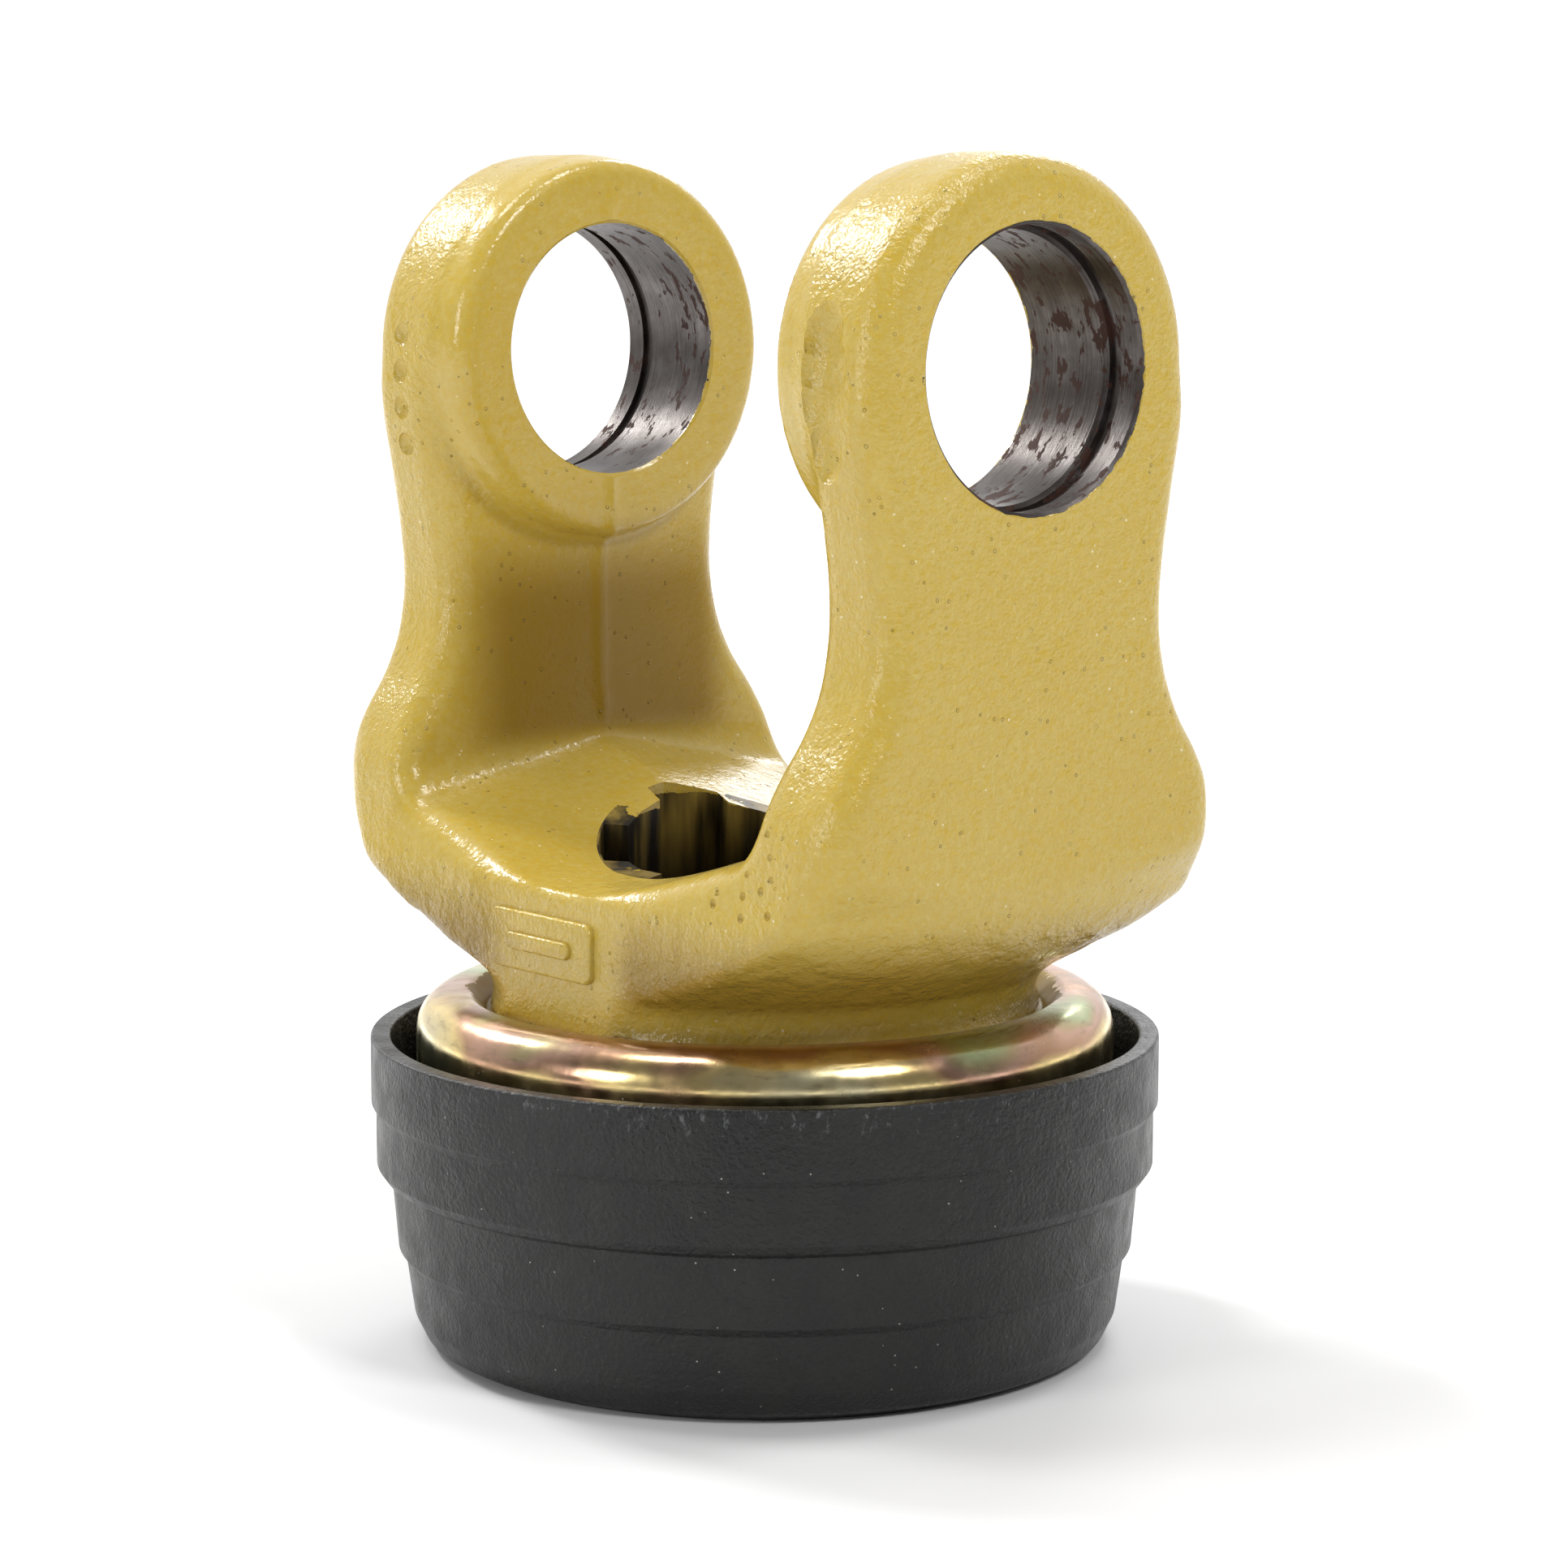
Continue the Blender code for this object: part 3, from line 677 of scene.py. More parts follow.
def foundry_plate():
    """A blank raised plate with one plain rib on the flank, where such forgings carry their marks."""
    thick, depth = 0.55, 3.0
    middle, height, half_width, half_height = 2.0, 44.6, 8.6, 3.1
    corner, rib_half, rib_radius = 1.2, 4.6, 0.9
    outline = []
    for index, (side, up) in enumerate(((1, 1), (-1, 1), (-1, -1), (1, -1))):
        centre = (side * (half_width - corner), up * (half_height - corner))
        outline += arc(centre, corner, 90.0 * index, 90.0 * (index + 1), 6)
    plate = extruded("plate", outline, depth)
    rib_ends = arc((rib_half, 0.0), rib_radius, -90.0, 90.0, 8)
    rib_ends += arc((-rib_half, 0.0), rib_radius, 90.0, 270.0, 8)
    rib = extruded("rib", rib_ends, depth + 2 * thick)
    stand = Matrix.Rotation(math.radians(-90), 4, "Z") @ Matrix.Rotation(math.radians(90), 4, "X")
    for piece in (plate, rib):
        soften_edges(piece)
        across = -flank(height) - thick + depth / 2
        piece.matrix_world = Matrix.Translation(Vector((across, middle, height)) * MM) @ stand
    return plate, rib


def dimple_marks():
    """A column of plain round dimples in the far ear's side."""
    y, depth, radius = 36.2, 0.7, 1.4
    dimples = []
    for z in (105.6, 101.6, 97.6, 93.6):
        dimples.append(ball_shape("dimple", (depth, radius, radius), (-flank(z) - 0.15, y, z)))
    return dimples


def build_yoke():
    yoke = forging()
    unite(yoke, hub())
    cut(yoke, cross_bores())
    cut(yoke, spline_bore())
    cut(yoke, spline_lead_in())
    for index in range(BALL_COUNT):
        cut(yoke, ball_seat(index))
    for piece in foundry_plate():
        unite(yoke, piece)
    for mark in gate_mark() + punch_marks() + dimple_marks():
        cut(yoke, mark)
    yoke.name = "yoke_body"
    smooth(yoke, 36.0)
    yoke.data.materials.clear()
    yoke.data.materials.append(paint_material())
    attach(yoke, "yoke")
    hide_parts("yoke")


# ---------------------------------------------------------------- material nodes


class Nodes:
    """Short calls that build one material's node tree."""

    def __init__(self, name):
        self.material = bpy.data.materials.new(name)
        self.material.use_nodes = True
        self.tree = self.material.node_tree
        self.shader = self.tree.nodes["Principled BSDF"]
        self.place = self.add("ShaderNodeTexCoord").outputs["Object"]

    def add(self, kind, inputs=(), **settings):
        made = self.tree.nodes.new(kind)
        for name, value in settings.items():
            setattr(made, name, value)
        for key, value in dict(inputs).items():
            self.set(made.inputs[key], value)
        return made

    def set(self, socket, value):
        if isinstance(value, bpy.types.NodeSocket):
            self.tree.links.new(value, socket)
        elif socket.type == "RGBA" and len(value) == 3:
            socket.default_value = (*value, 1.0)
        else:
            socket.default_value = value

    def math(self, operation, a, b=0.0, c=0.0, clamp=False):
        made = self.add("ShaderNodeMath", {0: a, 1: b, 2: c}, operation=operation, use_clamp=clamp)
        return made.outputs[0]

    def times(self, a, b):
        return self.math("MULTIPLY", a, b)

    def linear(self, value, slope, start):
        return self.math("MULTIPLY_ADD", value, slope, start)

    def noise(self, wavelength, detail=2.0, roughness=0.5, place=None, distortion=0.0):
        """Noise from 0 to 1 whose features are about so many millimetres across."""
        inputs = {"Scale": 1 / (wavelength * MM), "Detail": detail, "Roughness": roughness}
        inputs |= {"Vector": place or self.place, "Distortion": distortion}
        return self.add("ShaderNodeTexNoise", inputs).outputs["Fac"]

    def range(self, value, low, high, out_low=0.0, out_high=1.0):
        inputs = {0: value, 1: low, 2: high, 3: out_low, 4: out_high}
        return self.add("ShaderNodeMapRange", inputs, interpolation_type="SMOOTHSTEP").outputs[0]

    def mix(self, factor, a, b):
        return self.add("ShaderNodeMix", {0: factor, 6: a, 7: b}, data_type="RGBA").outputs[2]

    def blend(self, factor, a, b):
        return self.add("ShaderNodeMix", {0: factor, 2: a, 3: b}, data_type="FLOAT").outputs[0]

    def ramp(self, factor, stops):
        made = self.add("ShaderNodeValToRGB", {0: factor})
        elements = made.color_ramp.elements
        while len(elements) < len(stops):
            elements.new(0.5)
        for element, (position, colour) in zip(elements, stops):
            element.position = position
            element.color = (*colour, 1.0)
        return made.outputs[0]

    def axes(self):
        """X, Y and Z in millimetres."""
        split = self.add("ShaderNodeSeparateXYZ", {0: self.place})
        return [self.math("MULTIPLY", split.outputs[i], 1 / MM) for i in range(3)]

    def length(self, a, b):
        squares = self.math("MULTIPLY_ADD", a, a, self.math("MULTIPLY", b, b))
        return self.math("SQRT", squares)

    def stretched(self, x, y, z):
        """The place with each axis stretched by its own factor."""
        made = self.add("ShaderNodeVectorMath", {0: self.place, 1: (x, y, z)}, operation="MULTIPLY")
        return made.outputs[0]

    def spots(self, wavelength, size):
        """1 inside small round spots, one in each cell of about so many millimetres."""
        cells = self.add("ShaderNodeTexVoronoi", {"Vector": self.place, "Scale": 1 / (wavelength * MM)})
        return self.range(cells.outputs["Distance"], size, size * 0.6)

    def bump(self, height, depth):
        """A bump of so many millimetres for a height from 0 to 1."""
        return self.add("ShaderNodeBump", {"Height": height, "Distance": depth * MM}).outputs[0]

    def finish(self, **inputs):
        for name, value in inputs.items():
            self.set(self.shader.inputs[name.replace("_", " ")], value)
        return self.material


PAINT_STOPS = [(0.34, (0.48, 0.325, 0.042)), (0.50, (0.485, 0.350, 0.066)), (0.74, (0.52, 0.395, 0.100))]
PAINT_MOTTLE = (0.50, 0.335, 0.028)
# painted highlight: pale flecks that stand in for the glint of light on the paint's nibs
PAINTED_GLINT = (0.86, 0.80, 0.60)
# painted shade: brown for the paint on the fork's walls and under the ears, where little light reaches
PAINTED_SHADE_BROWN = (0.28, 0.175, 0.022)
PAINT_GRIME = (0.33, 0.215, 0.030)
PAINT_SPECK = (0.045, 0.035, 0.02)
BORE_STOPS = [(0.30, (0.045, 0.037, 0.033)), (0.52, (0.10, 0.088, 0.082)), (0.75, (0.21, 0.195, 0.19))]
RUST = (0.055, 0.019, 0.010)
# near black: oily steel darkened as painted shade deep in the spline bore
OIL_BLACK_AND_SHADE = (0.010, 0.008, 0.006)
OIL_OLIVE = (0.30, 0.21, 0.045)
HUB_STEEL = (0.06, 0.052, 0.042)
CHROMATE_STOPS = [
    (0.0, (0.68, 0.59, 0.34)),
    (0.22, (0.78, 0.60, 0.26)),
    (0.38, (0.50, 0.30, 0.18)),
    (0.48, (0.60, 0.37, 0.27)),
    (0.58, (0.50, 0.40, 0.22)),
    (0.70, (0.46, 0.52, 0.28)),
    (0.84, (0.76, 0.72, 0.48)),
    (1.0, (0.68, 0.59, 0.34)),
]
CHROMATE_STREAK = (0.30, 0.23, 0.13)
CHROMATE_DUST = (0.85, 0.83, 0.78)
SKIRT_PAINT = (0.47, 0.335, 0.060)
PLASTIC_SCUFF = (0.16, 0.165, 0.17)
PLASTIC_DUST = (0.42, 0.40, 0.36)


def bare_bore(n, y, from_bore, ragged):
    """1 on the machined walls of the cross bores, with a ragged line where the paint starts."""
    across = n.math("ABSOLUTE", y)
    past_boss = n.math("GREATER_THAN", across, n.linear(ragged, 1.6, EAR_INNER - 0.35))
    short_of_face = n.math("LESS_THAN", across, n.linear(ragged, -0.5, EAR_OUTER + 0.1))
    near_wall = n.math("LESS_THAN", from_bore, CUP_RING_RADIUS + 0.3)
    return n.times(near_wall, n.times(past_boss, short_of_face))


def fork_shade_mask(n, x, y, z):
    """1 on the middle of the fork's walls, under the bosses, where painted shade browns the paint and its
    gloss is lowered.
    """
    across = n.math("ABSOLUTE", y)
    short_of_ear = n.range(across, WALL_INNER + 6.0, WALL_INNER + 3.0)
    wall = n.times(short_of_ear, n.range(across, 20.0, 28.0))
    wall = n.times(wall, n.range(x, -20.5, -11.0))
    wall = n.times(wall, n.range(x, 20.5, 14.0))
    wall = n.times(wall, n.range(z, 87.0, 76.0))
    return n.times(wall, n.range(z, FLOOR_HEIGHT + 7.0, CREASE_HEIGHT + 2.0))


def paint_colour(n, z, from_axis, wall):
    """Ochre that drifts a little, with grime, specks and pale painted glint flecks, and painted shade that
    browns it in the fork and under the ears.
    """
    shade = n.blend(0.72, n.noise(14.0, 3.0, 0.55), n.noise(1.0, 4.0, 0.7))
    paint = n.ramp(shade, PAINT_STOPS)
    mottle = n.range(n.noise(0.8, 3.0, 0.6), 0.50, 0.66)
    paint = n.mix(n.times(mottle, 0.65), paint, PAINT_MOTTLE)
    # painted highlight: pale flecks standing in for small glinting reflections
    painted_glints = n.times(n.spots(1.9, 0.09), n.range(n.noise(7.0, 3.0), 0.44, 0.56))
    paint = n.mix(n.times(painted_glints, 0.5), paint, PAINTED_GLINT)
    # painted shade: browner paint in the fork and under the ears, standing in for the shade there
    underside = n.times(n.range(z, 52.0, 43.0), n.range(from_axis, 28.3, 30.5))
    paint = n.mix(n.math("MAXIMUM", wall, underside), paint, PAINTED_SHADE_BROWN)
    grime = n.range(n.noise(1.1, 5.0, 0.7), 0.60, 0.78)
    paint = n.mix(n.times(grime, 0.30), paint, PAINT_GRIME)
    specks = n.times(n.spots(4.2, 0.036), n.range(n.noise(9.0), 0.45, 0.58))
    return n.mix(n.times(specks, 0.85), paint, PAINT_SPECK)


def bore_steel(n, y):
    """Turned steel with fine rings, and brown rust spots, more of them in the near ear."""
    turning = n.noise(0.22, 3.0, 0.6, n.stretched(0.03, 1.0, 0.03))
    mottle = n.noise(5.0, 4.0, 0.6)
    steel = n.ramp(n.blend(0.65, turning, mottle), BORE_STOPS)
    along_ring = n.stretched(0.75, 1.5, 0.75)
    near_ear = n.times(n.range(y, -20.0, -30.0), 0.045)
    patches = n.times(n.noise(6.0, 2.0, 0.5), 0.22)
    fine = n.noise(2.2, 5.0, 0.62, along_ring)
    field = n.math("ADD", n.math("ADD", fine, patches), near_ear)
    rust = n.range(field, 0.700, 0.722)
    steel = n.mix(n.times(rust, 0.95), steel, RUST)
    return steel, rust, turning


def spline_steel(n, z, hub_end):
    """Oily dark steel with olive overspray near the mouth of the spline bore, fading to black deeper down as
    painted shade.
    """
    # painted shade: olive overspray near the mouth, black deeper in the bore
    depth = n.range(z, 43.0, 57.0)
    streaks = n.range(n.noise(3.0, 3.0, 0.5, n.stretched(1.0, 1.0, 0.15)), 0.35, 0.65)
    oil_and_shade = n.mix(n.times(depth, streaks), OIL_BLACK_AND_SHADE, OIL_OLIVE)
    return n.mix(hub_end, oil_and_shade, HUB_STEEL)


def paint_relief(n, y, z, from_axis):
    """Orange peel, finer in the fork, coarse on the rough underside, with nibs and pits."""
    across = n.math("ABSOLUTE", y)
    in_fork = n.times(n.range(across, WALL_INNER + 3.0, WALL_INNER + 1.0), n.range(z, 50.0, 52.0))
    underside = n.times(n.range(z, 53.0, 46.0), n.range(from_axis, 28.0, 31.0))
    peel = n.linear(n.noise(0.95, 2.0, 0.5), 0.42, n.times(n.noise(0.42, 3.0), 0.34))
    peel = n.times(peel, n.linear(in_fork, -0.65, 1.0))
    coarse = n.times(n.noise(2.4, 4.0, 0.6), n.linear(underside, 2.4, 0.25))
    height = n.math("ADD", peel, coarse)
    height = n.linear(n.spots(2.6, 0.09), -0.25, height)
    nibs = n.times(n.spots(1.7, 0.13), n.range(n.noise(6.0, 3.0), 0.45, 0.55))
    return n.linear(nibs, 0.75, height)


def paint_material():
    """Ochre paint on a forging, bare steel with rust in the machined bores."""
    n = Nodes("yellow_paint")
    x, y, z = n.axes()
    ragged = n.noise(1.6, 4.0, 0.6)
    from_bore = n.length(x, n.math("SUBTRACT", z, BORE_HEIGHT))
    from_axis = n.length(x, y)
    in_bore = bare_bore(n, y, from_bore, ragged)
    up_ramp = n.times(n.math("MAXIMUM", n.math("SUBTRACT", n.math("ABSOLUTE", y), 3.5), 0.0), 0.34)
    paint_line = n.math("ADD", up_ramp, n.linear(ragged, -1.5, FLOOR_HEIGHT))
    in_spline = n.math("LESS_THAN", from_axis, SPLINE_MAJOR + 0.2)
    in_spline = n.times(in_spline, n.math("LESS_THAN", z, paint_line))
    hub_end = n.math("LESS_THAN", z, NECK_FOOT - 0.2)
    dark = n.math("MAXIMUM", in_spline, hub_end)
    bare = n.math("MAXIMUM", in_bore, dark)

    steel, rust, turning = bore_steel(n, y)
    steel = n.mix(dark, steel, spline_steel(n, z, hub_end))
    wall = fork_shade_mask(n, x, y, z)
    colour = n.mix(bare, paint_colour(n, z, from_axis, wall), steel)

    height = n.blend(bare, paint_relief(n, y, z, from_axis), n.times(turning, 0.15))
    normal = n.bump(n.linear(bare, -0.6, height), 0.33)

    gloss = n.range(n.noise(2.0, 3.0), 0.3, 0.7, 0.15, 0.25)
    rough_steel = n.linear(rust, 0.35, 0.40)
    roughness = n.blend(bare, gloss, rough_steel)
    clean = n.math("SUBTRACT", in_bore, dark, clamp=True)
    metal = n.times(clean, n.linear(rust, -0.85, 1.0))
    sheen = n.linear(n.math("MAXIMUM", wall, dark), -0.32, 0.5)
    return n.finish(
        Base_Color=colour, Roughness=roughness, Metallic=metal, Normal=normal, Specular_IOR_Level=sheen
    )


def chromate_material():
    """Zinc plate with a yellow chromate film, whose tint drifts from straw to rose and green, and a ragged
    skirt of paint by the neck."""
    n = Nodes("yellow_chromate")
    x, y, z = n.axes()
    drift = n.noise(20.0, 2.0, 0.5, n.stretched(1.0, 1.0, 2.5))
    band = n.math("FRACT", n.linear(z, 0.10, n.times(drift, 1.7)))
    tint = n.ramp(band, CHROMATE_STOPS)
    streak = n.noise(1.2, 4.0, 0.6, n.stretched(0.4, 0.4, 1.5))
    tint = n.mix(n.range(streak, 0.50, 0.75, 0.0, 0.5), tint, CHROMATE_STREAK)
    dust = n.times(n.spots(1.7, 0.07), n.range(n.noise(7.0), 0.42, 0.56))
    tint = n.mix(n.times(dust, 0.75), tint, CHROMATE_DUST)
    from_axis = n.length(x, y)
    ragged = n.linear(n.noise(9.0, 2.0), 3.0, n.times(n.noise(1.5, 5.0, 0.65), 3.0))
    reach = n.math("ADD", ragged, NECK_RADIUS - 0.6)
    painted = n.math("LESS_THAN", from_axis, reach)
    tint = n.mix(painted, tint, SKIRT_PAINT)
    roughness = n.range(n.noise(3.0, 4.0), 0.3, 0.7, 0.15, 0.28)
    roughness = n.math("ADD", roughness, n.times(n.math("MAXIMUM", dust, painted), 0.2))
    scratches = n.noise(0.5, 3.0, 0.7, n.stretched(0.25, 0.25, 1.0))
    height = n.math("ADD", n.noise(1.8, 3.0), n.times(scratches, 0.4))
    normal = n.bump(n.linear(painted, 8.0, height), 0.014)
    metal = n.math("SUBTRACT", 1.0, painted)
    return n.finish(Base_Color=tint, Roughness=roughness, Metallic=metal, Normal=normal)


def plastic_material():
    """Satin black moulded plastic with fine grain, scuffs near the rim and a little dust."""
    n = Nodes("black_plastic")
    _, _, z = n.axes()
    shade = n.noise(8.0, 4.0, 0.6)
    colour = n.ramp(shade, [(0.3, (0.005, 0.005, 0.005)), (0.7, (0.010, 0.010, 0.009))])
    worn = n.noise(1.1, 6.0, 0.75, n.stretched(1.0, 1.0, 0.6))
    high_band = n.range(z, RING_HIGH.z - 4.0, RING_HIGH.z - 0.8)
    scuff = n.times(n.range(worn, 0.56, 0.68), high_band)
    colour = n.mix(n.times(scuff, 0.55), colour, PLASTIC_SCUFF)
    dust = n.times(n.spots(1.5, 0.075), n.range(n.noise(6.0), 0.47, 0.58))
    colour = n.mix(n.times(dust, 0.8), colour, PLASTIC_DUST)
    grain = n.noise(0.5, 3.0, 0.6)
    swirl = n.noise(2.2, 3.0, 0.6)
    height = n.linear(swirl, 0.9, n.times(grain, 0.9))
    normal = n.bump(height, 0.24)
    roughness = n.range(n.noise(3.5, 4.0), 0.3, 0.7, 0.28, 0.42)
    roughness = n.linear(scuff, 0.2, roughness)
    return n.finish(Base_Color=colour, Roughness=roughness, Normal=normal, Specular_IOR_Level=0.4)


def dark_steel_material():
    """Phosphated and oiled steel."""
    n = Nodes("phosphated_steel")
    mottle = n.noise(2.5, 5.0, 0.6)
    colour = n.ramp(mottle, [(0.3, (0.045, 0.044, 0.043)), (0.7, (0.13, 0.125, 0.12))])
    normal = n.bump(n.noise(0.4, 3.0), 0.02)
    roughness = n.range(n.noise(1.5, 3.0), 0.3, 0.7, 0.30, 0.52)
    return n.finish(Base_Color=colour, Roughness=roughness, Metallic=1.0, Normal=normal)


def bright_steel_material():
    """Polished balls with a few fine scratches and smears of grease."""
    n = Nodes("bright_steel")
    smear = n.noise(2.0, 4.0, 0.6, distortion=0.6)
    colour = n.ramp(smear, [(0.35, (0.38, 0.36, 0.32)), (0.65, (0.66, 0.65, 0.64))])
    scratch = n.noise(0.3, 2.0, 0.5, n.stretched(1.0, 0.08, 0.08))
    normal = n.bump(scratch, 0.004)
    roughness = n.range(smear, 0.3, 0.7, 0.30, 0.10)
    return n.finish(Base_Color=colour, Roughness=roughness, Metallic=1.0, Normal=normal)


# ---------------------------------------------------------------- turned pieces


def dress(thing, material, body, slot, *nodes):
    thing.data.materials.clear()
    thing.data.materials.append(material)
    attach(thing, body)
    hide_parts(*nodes)


def build_spring_cap():
    """Pressed cap over the spring: flat seat under the neck, rounded shoulder and a plain skirt."""
    outer, foot, crown = CAP_HIGH.x, CAP_LOW.z, CAP_HIGH.z
    wall, shoulder, seat = 1.5, 4.0, NECK_FOOT - 0.04
    bore = HUB_RADIUS + CLEARANCE
    corners = [
        (bore, seat, 0.0),
        (NECK_RADIUS + 0.7, seat, 0.4),
        (NECK_RADIUS + 2.5, crown, 1.6),
        (outer, crown, shoulder),
        (outer, foot, 0.3),
        (outer - wall, foot, 0.3),
        (outer - wall, crown - wall, shoulder - wall),
        (NECK_RADIUS + 2.6, crown - wall, 1.0),
        (NECK_RADIUS + 0.9, seat - wall, 0.3),
        (bore, seat - wall, 0.0),
    ]
    cap = turned("spring_cover", rounded_profile(corners, 8))
    dress(cap, chromate_material(), "yoke", "yellow_chromate", "spring_cap")


def build_grease_dab():
    """A lumpy dab of brown grease where the neck meets the cap, below the flank."""
    turn = math.radians(-158.5)
    radius = NECK_RADIUS + 1.0
    half_length, half_depth, half_height = 3.4, 1.3, 1.1
    blob = ball_shape("grease_dab", (half_length, half_depth, half_height), (0.0, 0.0, 0.0))
    lumpy = np.random.default_rng(SEED)
    for corner in blob.data.vertices:
        corner.co *= 1 + lumpy.uniform(-0.04, 0.04)
    blob.location = Vector((radius * math.cos(turn), radius * math.sin(turn), NECK_FOOT + 0.5)) * MM
    blob.rotation_euler.z = turn + math.radians(90)
    rounder = blob.modifiers.new("rounder", "SUBSURF")
    rounder.levels = rounder.render_levels = 1
    apply_all(blob)
    smooth(blob, 180.0)
    n = Nodes("old_grease")
    colour = n.ramp(n.noise(0.8, 3.0), [(0.35, (0.10, 0.055, 0.015)), (0.65, (0.26, 0.17, 0.06))])
    normal = n.bump(n.noise(0.7, 2.0), 0.05)
    blob.data.materials.clear()
    blob.data.materials.append(n.finish(Base_Color=colour, Roughness=0.08, Normal=normal))
    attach(blob, "yoke")


def build_pull_ring():
    """Stepped plastic ring with softened edges."""
    high, low, outer = RING_HIGH.z, RING_LOW.z, RING_HIGH.x
    lock_high, lock_low = LOCK_LOW.z + 2.8, LOCK_LOW.z - CLEARANCE
    pocket = LOCK_HIGH.x + CLEARANCE
    spring_clear = SPRING_HIGH.x + CLEARANCE
    wall = outer - 2.1
    bore = 32.8
    corners = [
        (outer, high, 0.35),
        (outer, 25.9, 0.25),
        (outer - 0.5, 25.1, 0.25),
        (outer - 0.5, 19.3, 0.3),
        (outer - 1.2, 18.3, 0.3),
        (39.6, 17.8, 0.3),
        (38.95, 10.4, 0.25),
        (38.2, 9.5, 0.25),
        (37.35, 3.4, 1.5),
        (36.2, 1.0, 1.2),
        (34.3, low, 0.8),
        (bore, low, 0.35),
        (bore, lock_low, 0.2),
        (pocket, lock_low, 0.0),
        (pocket, lock_high, 0.0),
        (spring_clear, lock_high, 0.2),
        (spring_clear, 11.0, 0.2),
        (36.5, 13.0, 0.4),
        (37.0, 17.6, 0.6),
        (wall, 20.2, 0.6),
        (wall, high, 0.35),
    ]
    ring = turned("release_ring", rounded_profile(corners, 4), steps=192)
    dress(ring, plastic_material(), "pull_ring", "black_plastic", "pull_ring")


def build_locking_ring(material):
    """Sleeve with a flange at its foot and an inner cone that lets the balls out as it rises."""
    low, high, flange = LOCK_LOW.z, LOCK_HIGH.z, LOCK_HIGH.x
    sleeve, bore, slope, flange_high = 30.9, HUB_RADIUS + 0.35, 0.35, low + 2.5
    gap_at_balls = 1.098
    cone_foot = bore + gap_at_balls + slope * (BALL_HEIGHT - low)
    corners = [
        (sleeve, high, 0.3),
        (sleeve, flange_high, 0.4),
        (flange, flange_high, 0.3),
        (flange, low, 0.3),
        (cone_foot, low, 0.3),
        (bore, BALL_HEIGHT + gap_at_balls / slope, 0.5),
        (bore, high, 0.3),
    ]
    ring = turned("lock_sleeve", rounded_profile(corners, 4))
    dress(ring, material, "lock_collar", "phosphated_steel", "locking_ring")


def build_stop_washer(material):
    low, high, outer, bore = WASHER_LOW.z, WASHER_HIGH.z, WASHER_HIGH.x, HUB_RADIUS + CLEARANCE
    corners = [(outer, high, 0.25), (outer, low, 0.35), (bore, low, 0.35), (bore, high, 0.25)]
    washer = turned("thrust_washer", rounded_profile(corners, 4))
    dress(washer, material, "yoke", "phosphated_steel", "stop_washer")


def build_retaining_ring(material):
    """An open ring of rectangular stock."""
    half_opening = 17.0
    outer_radius, inner_radius = 27.6, 23.5
    low, high = RETAINER_LOW.z, RETAINER_HIGH.z
    outer = arc((0.0, 0.0), outer_radius, half_opening, 360.0 - half_opening, 96)
    inner = arc((0.0, 0.0), inner_radius, 360.0 - half_opening, half_opening, 96)
    ring = extruded("snap_ring", outer + inner, high - low)
    ring.location.z = (low + high) / 2 * MM
    soften_edges(ring)
    smooth(ring)
    dress(ring, material, "yoke", "phosphated_steel", "retaining_ring")


def build_spring(material):
    """Round-wire coil with closer end turns, at rest; in the real collar the ring squashes it as it is pulled
    up.
    """
    wire_radius = 1.6
    radius = SPRING_HIGH.x - wire_radius
    foot, top = SPRING_LOW.z + wire_radius, SPRING_HIGH.z - wire_radius
    turns, end_pitch, steps_a_turn = 5, 3.6, 60
    pitch = (top - foot - 2 * end_pitch) / (turns - 2)
    points = []
    for i in range(turns * steps_a_turn + 1):
        turn = i / steps_a_turn
        height = foot + end_pitch * min(turn, 1) + pitch * min(max(turn - 1, 0), turns - 2)
        height += end_pitch * max(turn - (turns - 1), 0)
        angle = 2 * math.pi * turn
        points.append((radius * math.cos(angle), radius * math.sin(angle), height))
    coil = wire("return_spring", points, wire_radius, sides=5)
    smooth(coil, 40.0)
    dress(coil, material, "yoke", "phosphated_steel", "spring")
    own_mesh(coil)


def build_balls():
    material = bright_steel_material()
    for index in range(BALL_COUNT):
        shape = bmesh.new()
        bmesh.ops.create_icosphere(shape, subdivisions=4, radius=BALL_RADIUS * MM)
        ball = object_of(f"lock_ball_{index + 1}", shape)
        ball.data.shade_smooth()
        ball.location = ball_direction(index) * BALL_CENTRE * MM + Vector((0, 0, BALL_HEIGHT * MM))
        dress(ball, material, f"ball_{index + 1}", "bright_steel", f"ball_{index + 1}")


# ---------------------------------------------------------------- studio


def build_floor():
    """Pale paper that glows more away from the yoke, painted light that fades it into the white surround."""
    half_side, glow_start, glow_end = 3.0, 130.0, 700.0
    shape = bmesh.new()
    bmesh.ops.create_grid(shape, x_segments=1, y_segments=1, size=half_side)
    floor = object_of("floor", shape)
    n = Nodes("floor_paper")
    x, y, _ = n.axes()
    colour = n.ramp(n.noise(40.0, 3.0), [(0.3, (0.77, 0.77, 0.77)), (0.7, (0.80, 0.80, 0.80))])
    # painted light: the floor glows more the further it is from the yoke
    glow = n.range(n.length(x, y), glow_start, glow_end, 0.0, 0.75)
    paper = n.finish(Base_Color=colour, Roughness=0.8, Emission_Color=(1.0, 1.0, 1.0), Emission_Strength=glow)
    floor.data.materials.append(paper)


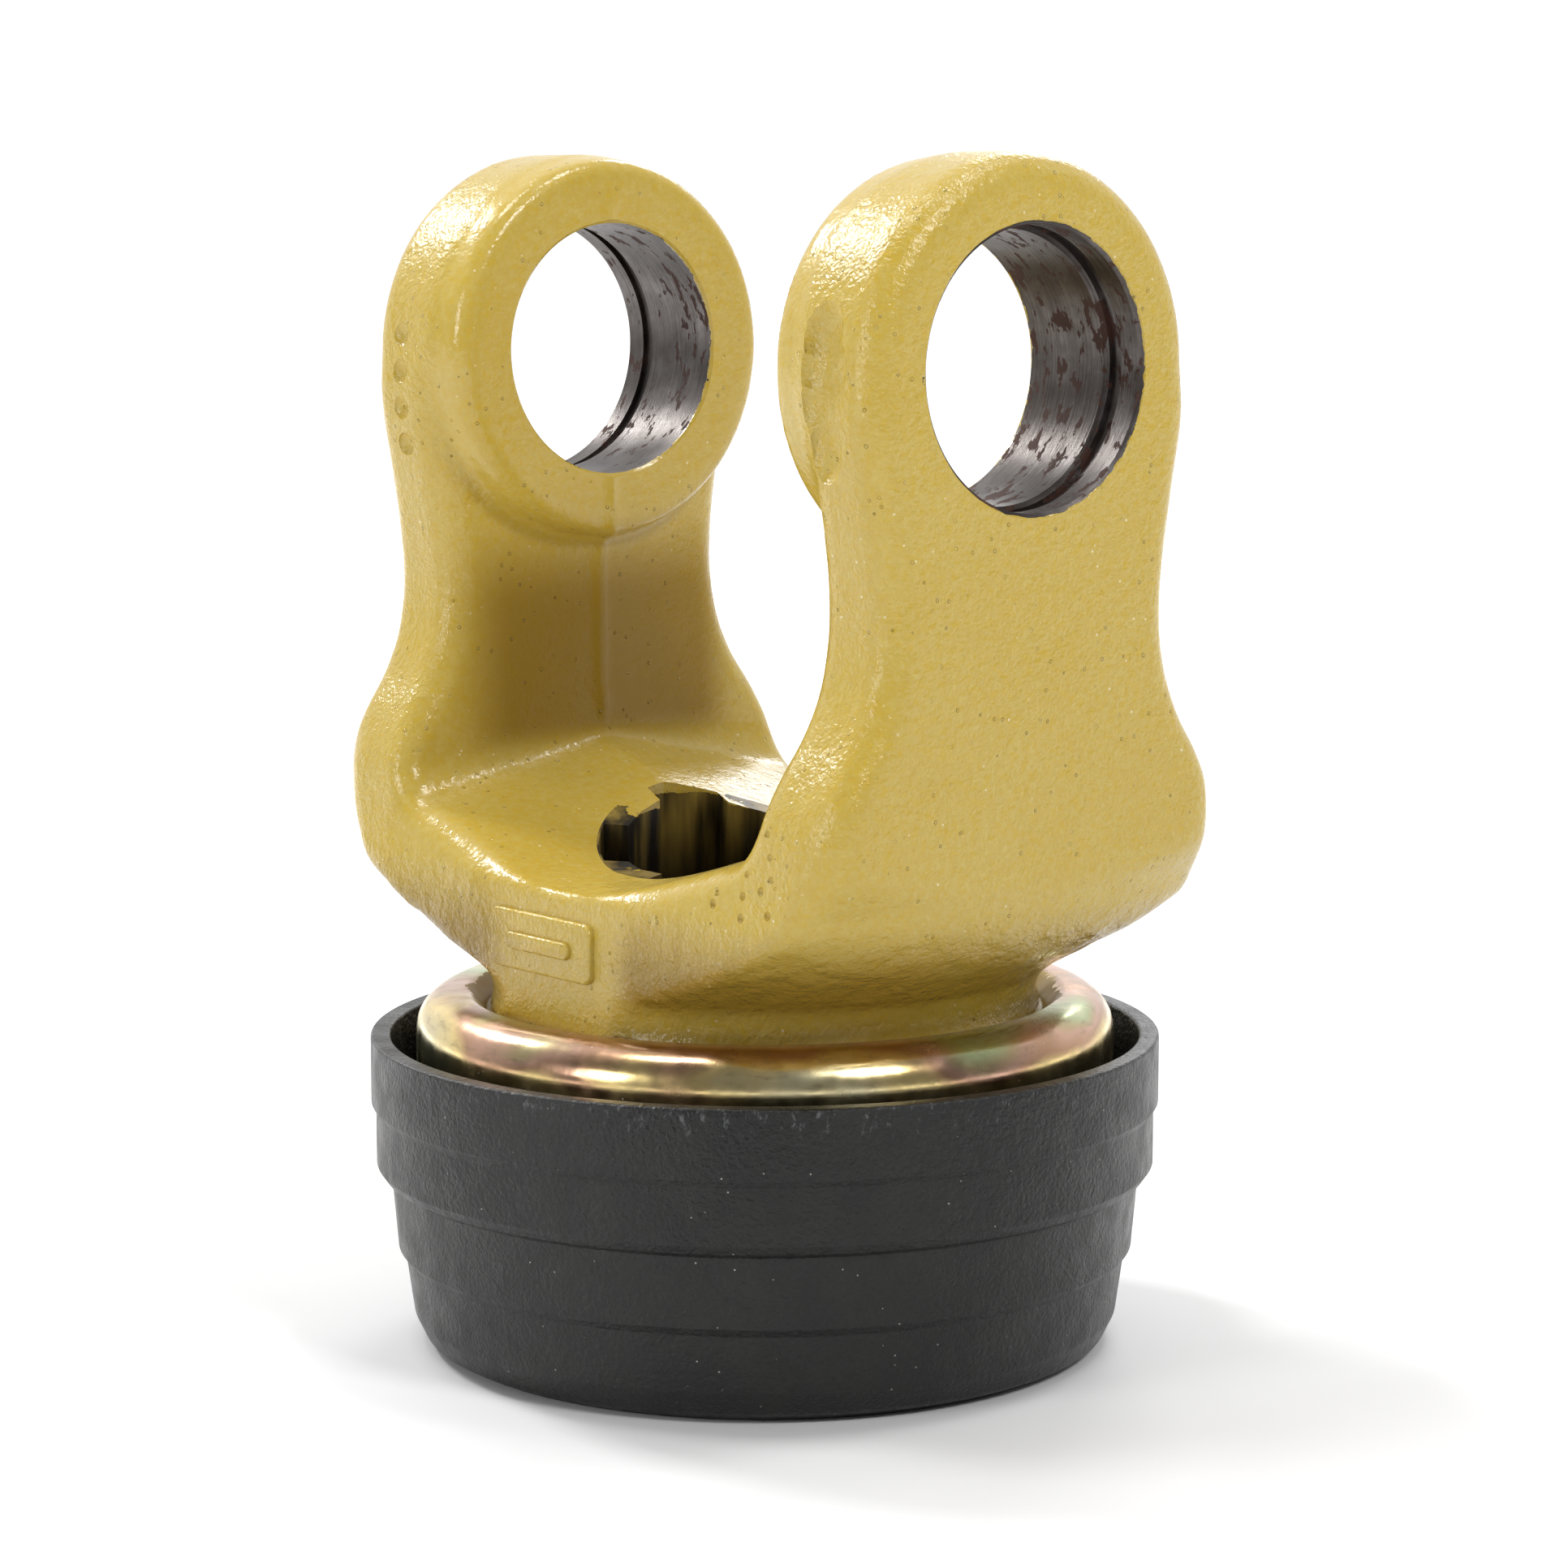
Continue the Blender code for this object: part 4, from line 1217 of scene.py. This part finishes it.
def area_light(name, place, size, power):
    light = bpy.data.lights.new(name, "AREA")
    light.shape = "RECTANGLE"
    light.size, light.size_y = size
    light.energy = power
    made = new_object(name, light)
    made.location = place
    made.rotation_euler = (Vector(LIT_POINT) - Vector(place)).to_track_quat("-Z", "Y").to_euler()


def build_world():
    """A white surround that is dim on the camera's side, as round a product table."""
    world = bpy.data.worlds.new("studio")
    world.use_nodes = True
    tree = world.node_tree
    place = tree.nodes.new("ShaderNodeTexCoord")
    facing = tree.nodes.new("ShaderNodeVectorMath")
    facing.operation = "DOT_PRODUCT"
    facing.inputs[1].default_value = (*VIEW_LEVEL, 0.0)
    strength = tree.nodes.new("ShaderNodeMapRange")
    for index, value in enumerate(SURROUND_TURNS + SURROUND_STRENGTHS):
        strength.inputs[index + 1].default_value = value
    background = tree.nodes["Background"]
    background.inputs["Color"].default_value = (1.0, 1.0, 1.0, 1.0)
    tree.links.new(place.outputs["Generated"], facing.inputs[0])
    tree.links.new(facing.outputs["Value"], strength.inputs[0])
    tree.links.new(strength.outputs[0], background.inputs["Strength"])
    bpy.context.scene.world = world


def build_lights():
    for name, (place, size, power) in LIGHTS.items():
        area_light(name, place, size, power)
    bpy.context.scene.view_settings.view_transform = "Standard"


def build_camera():
    camera = new_object("camera", bpy.data.cameras.new("camera"))
    camera.data.lens = CAMERA_LENS
    camera.data.sensor_width = CAMERA_SENSOR
    camera.data.clip_start = 0.01
    pitch = math.radians(VIEW_PITCH)
    look = Vector((*VIEW_LEVEL, 0.0)) * math.cos(pitch) - Vector((0, 0, math.sin(pitch)))
    camera.location = CAMERA_PLACE
    camera.rotation_euler = look.to_track_quat("-Z", "Y").to_euler()
    bpy.context.scene.camera = camera


def main():
    build_camera()
    build_world()
    build_lights()
    build_floor()
    dark_steel = dark_steel_material()
    build_yoke()
    build_spring_cap()
    build_grease_dab()
    build_pull_ring()
    build_locking_ring(dark_steel)
    build_stop_washer(dark_steel)
    build_retaining_ring(dark_steel)
    build_spring(dark_steel)
    build_balls()


main()
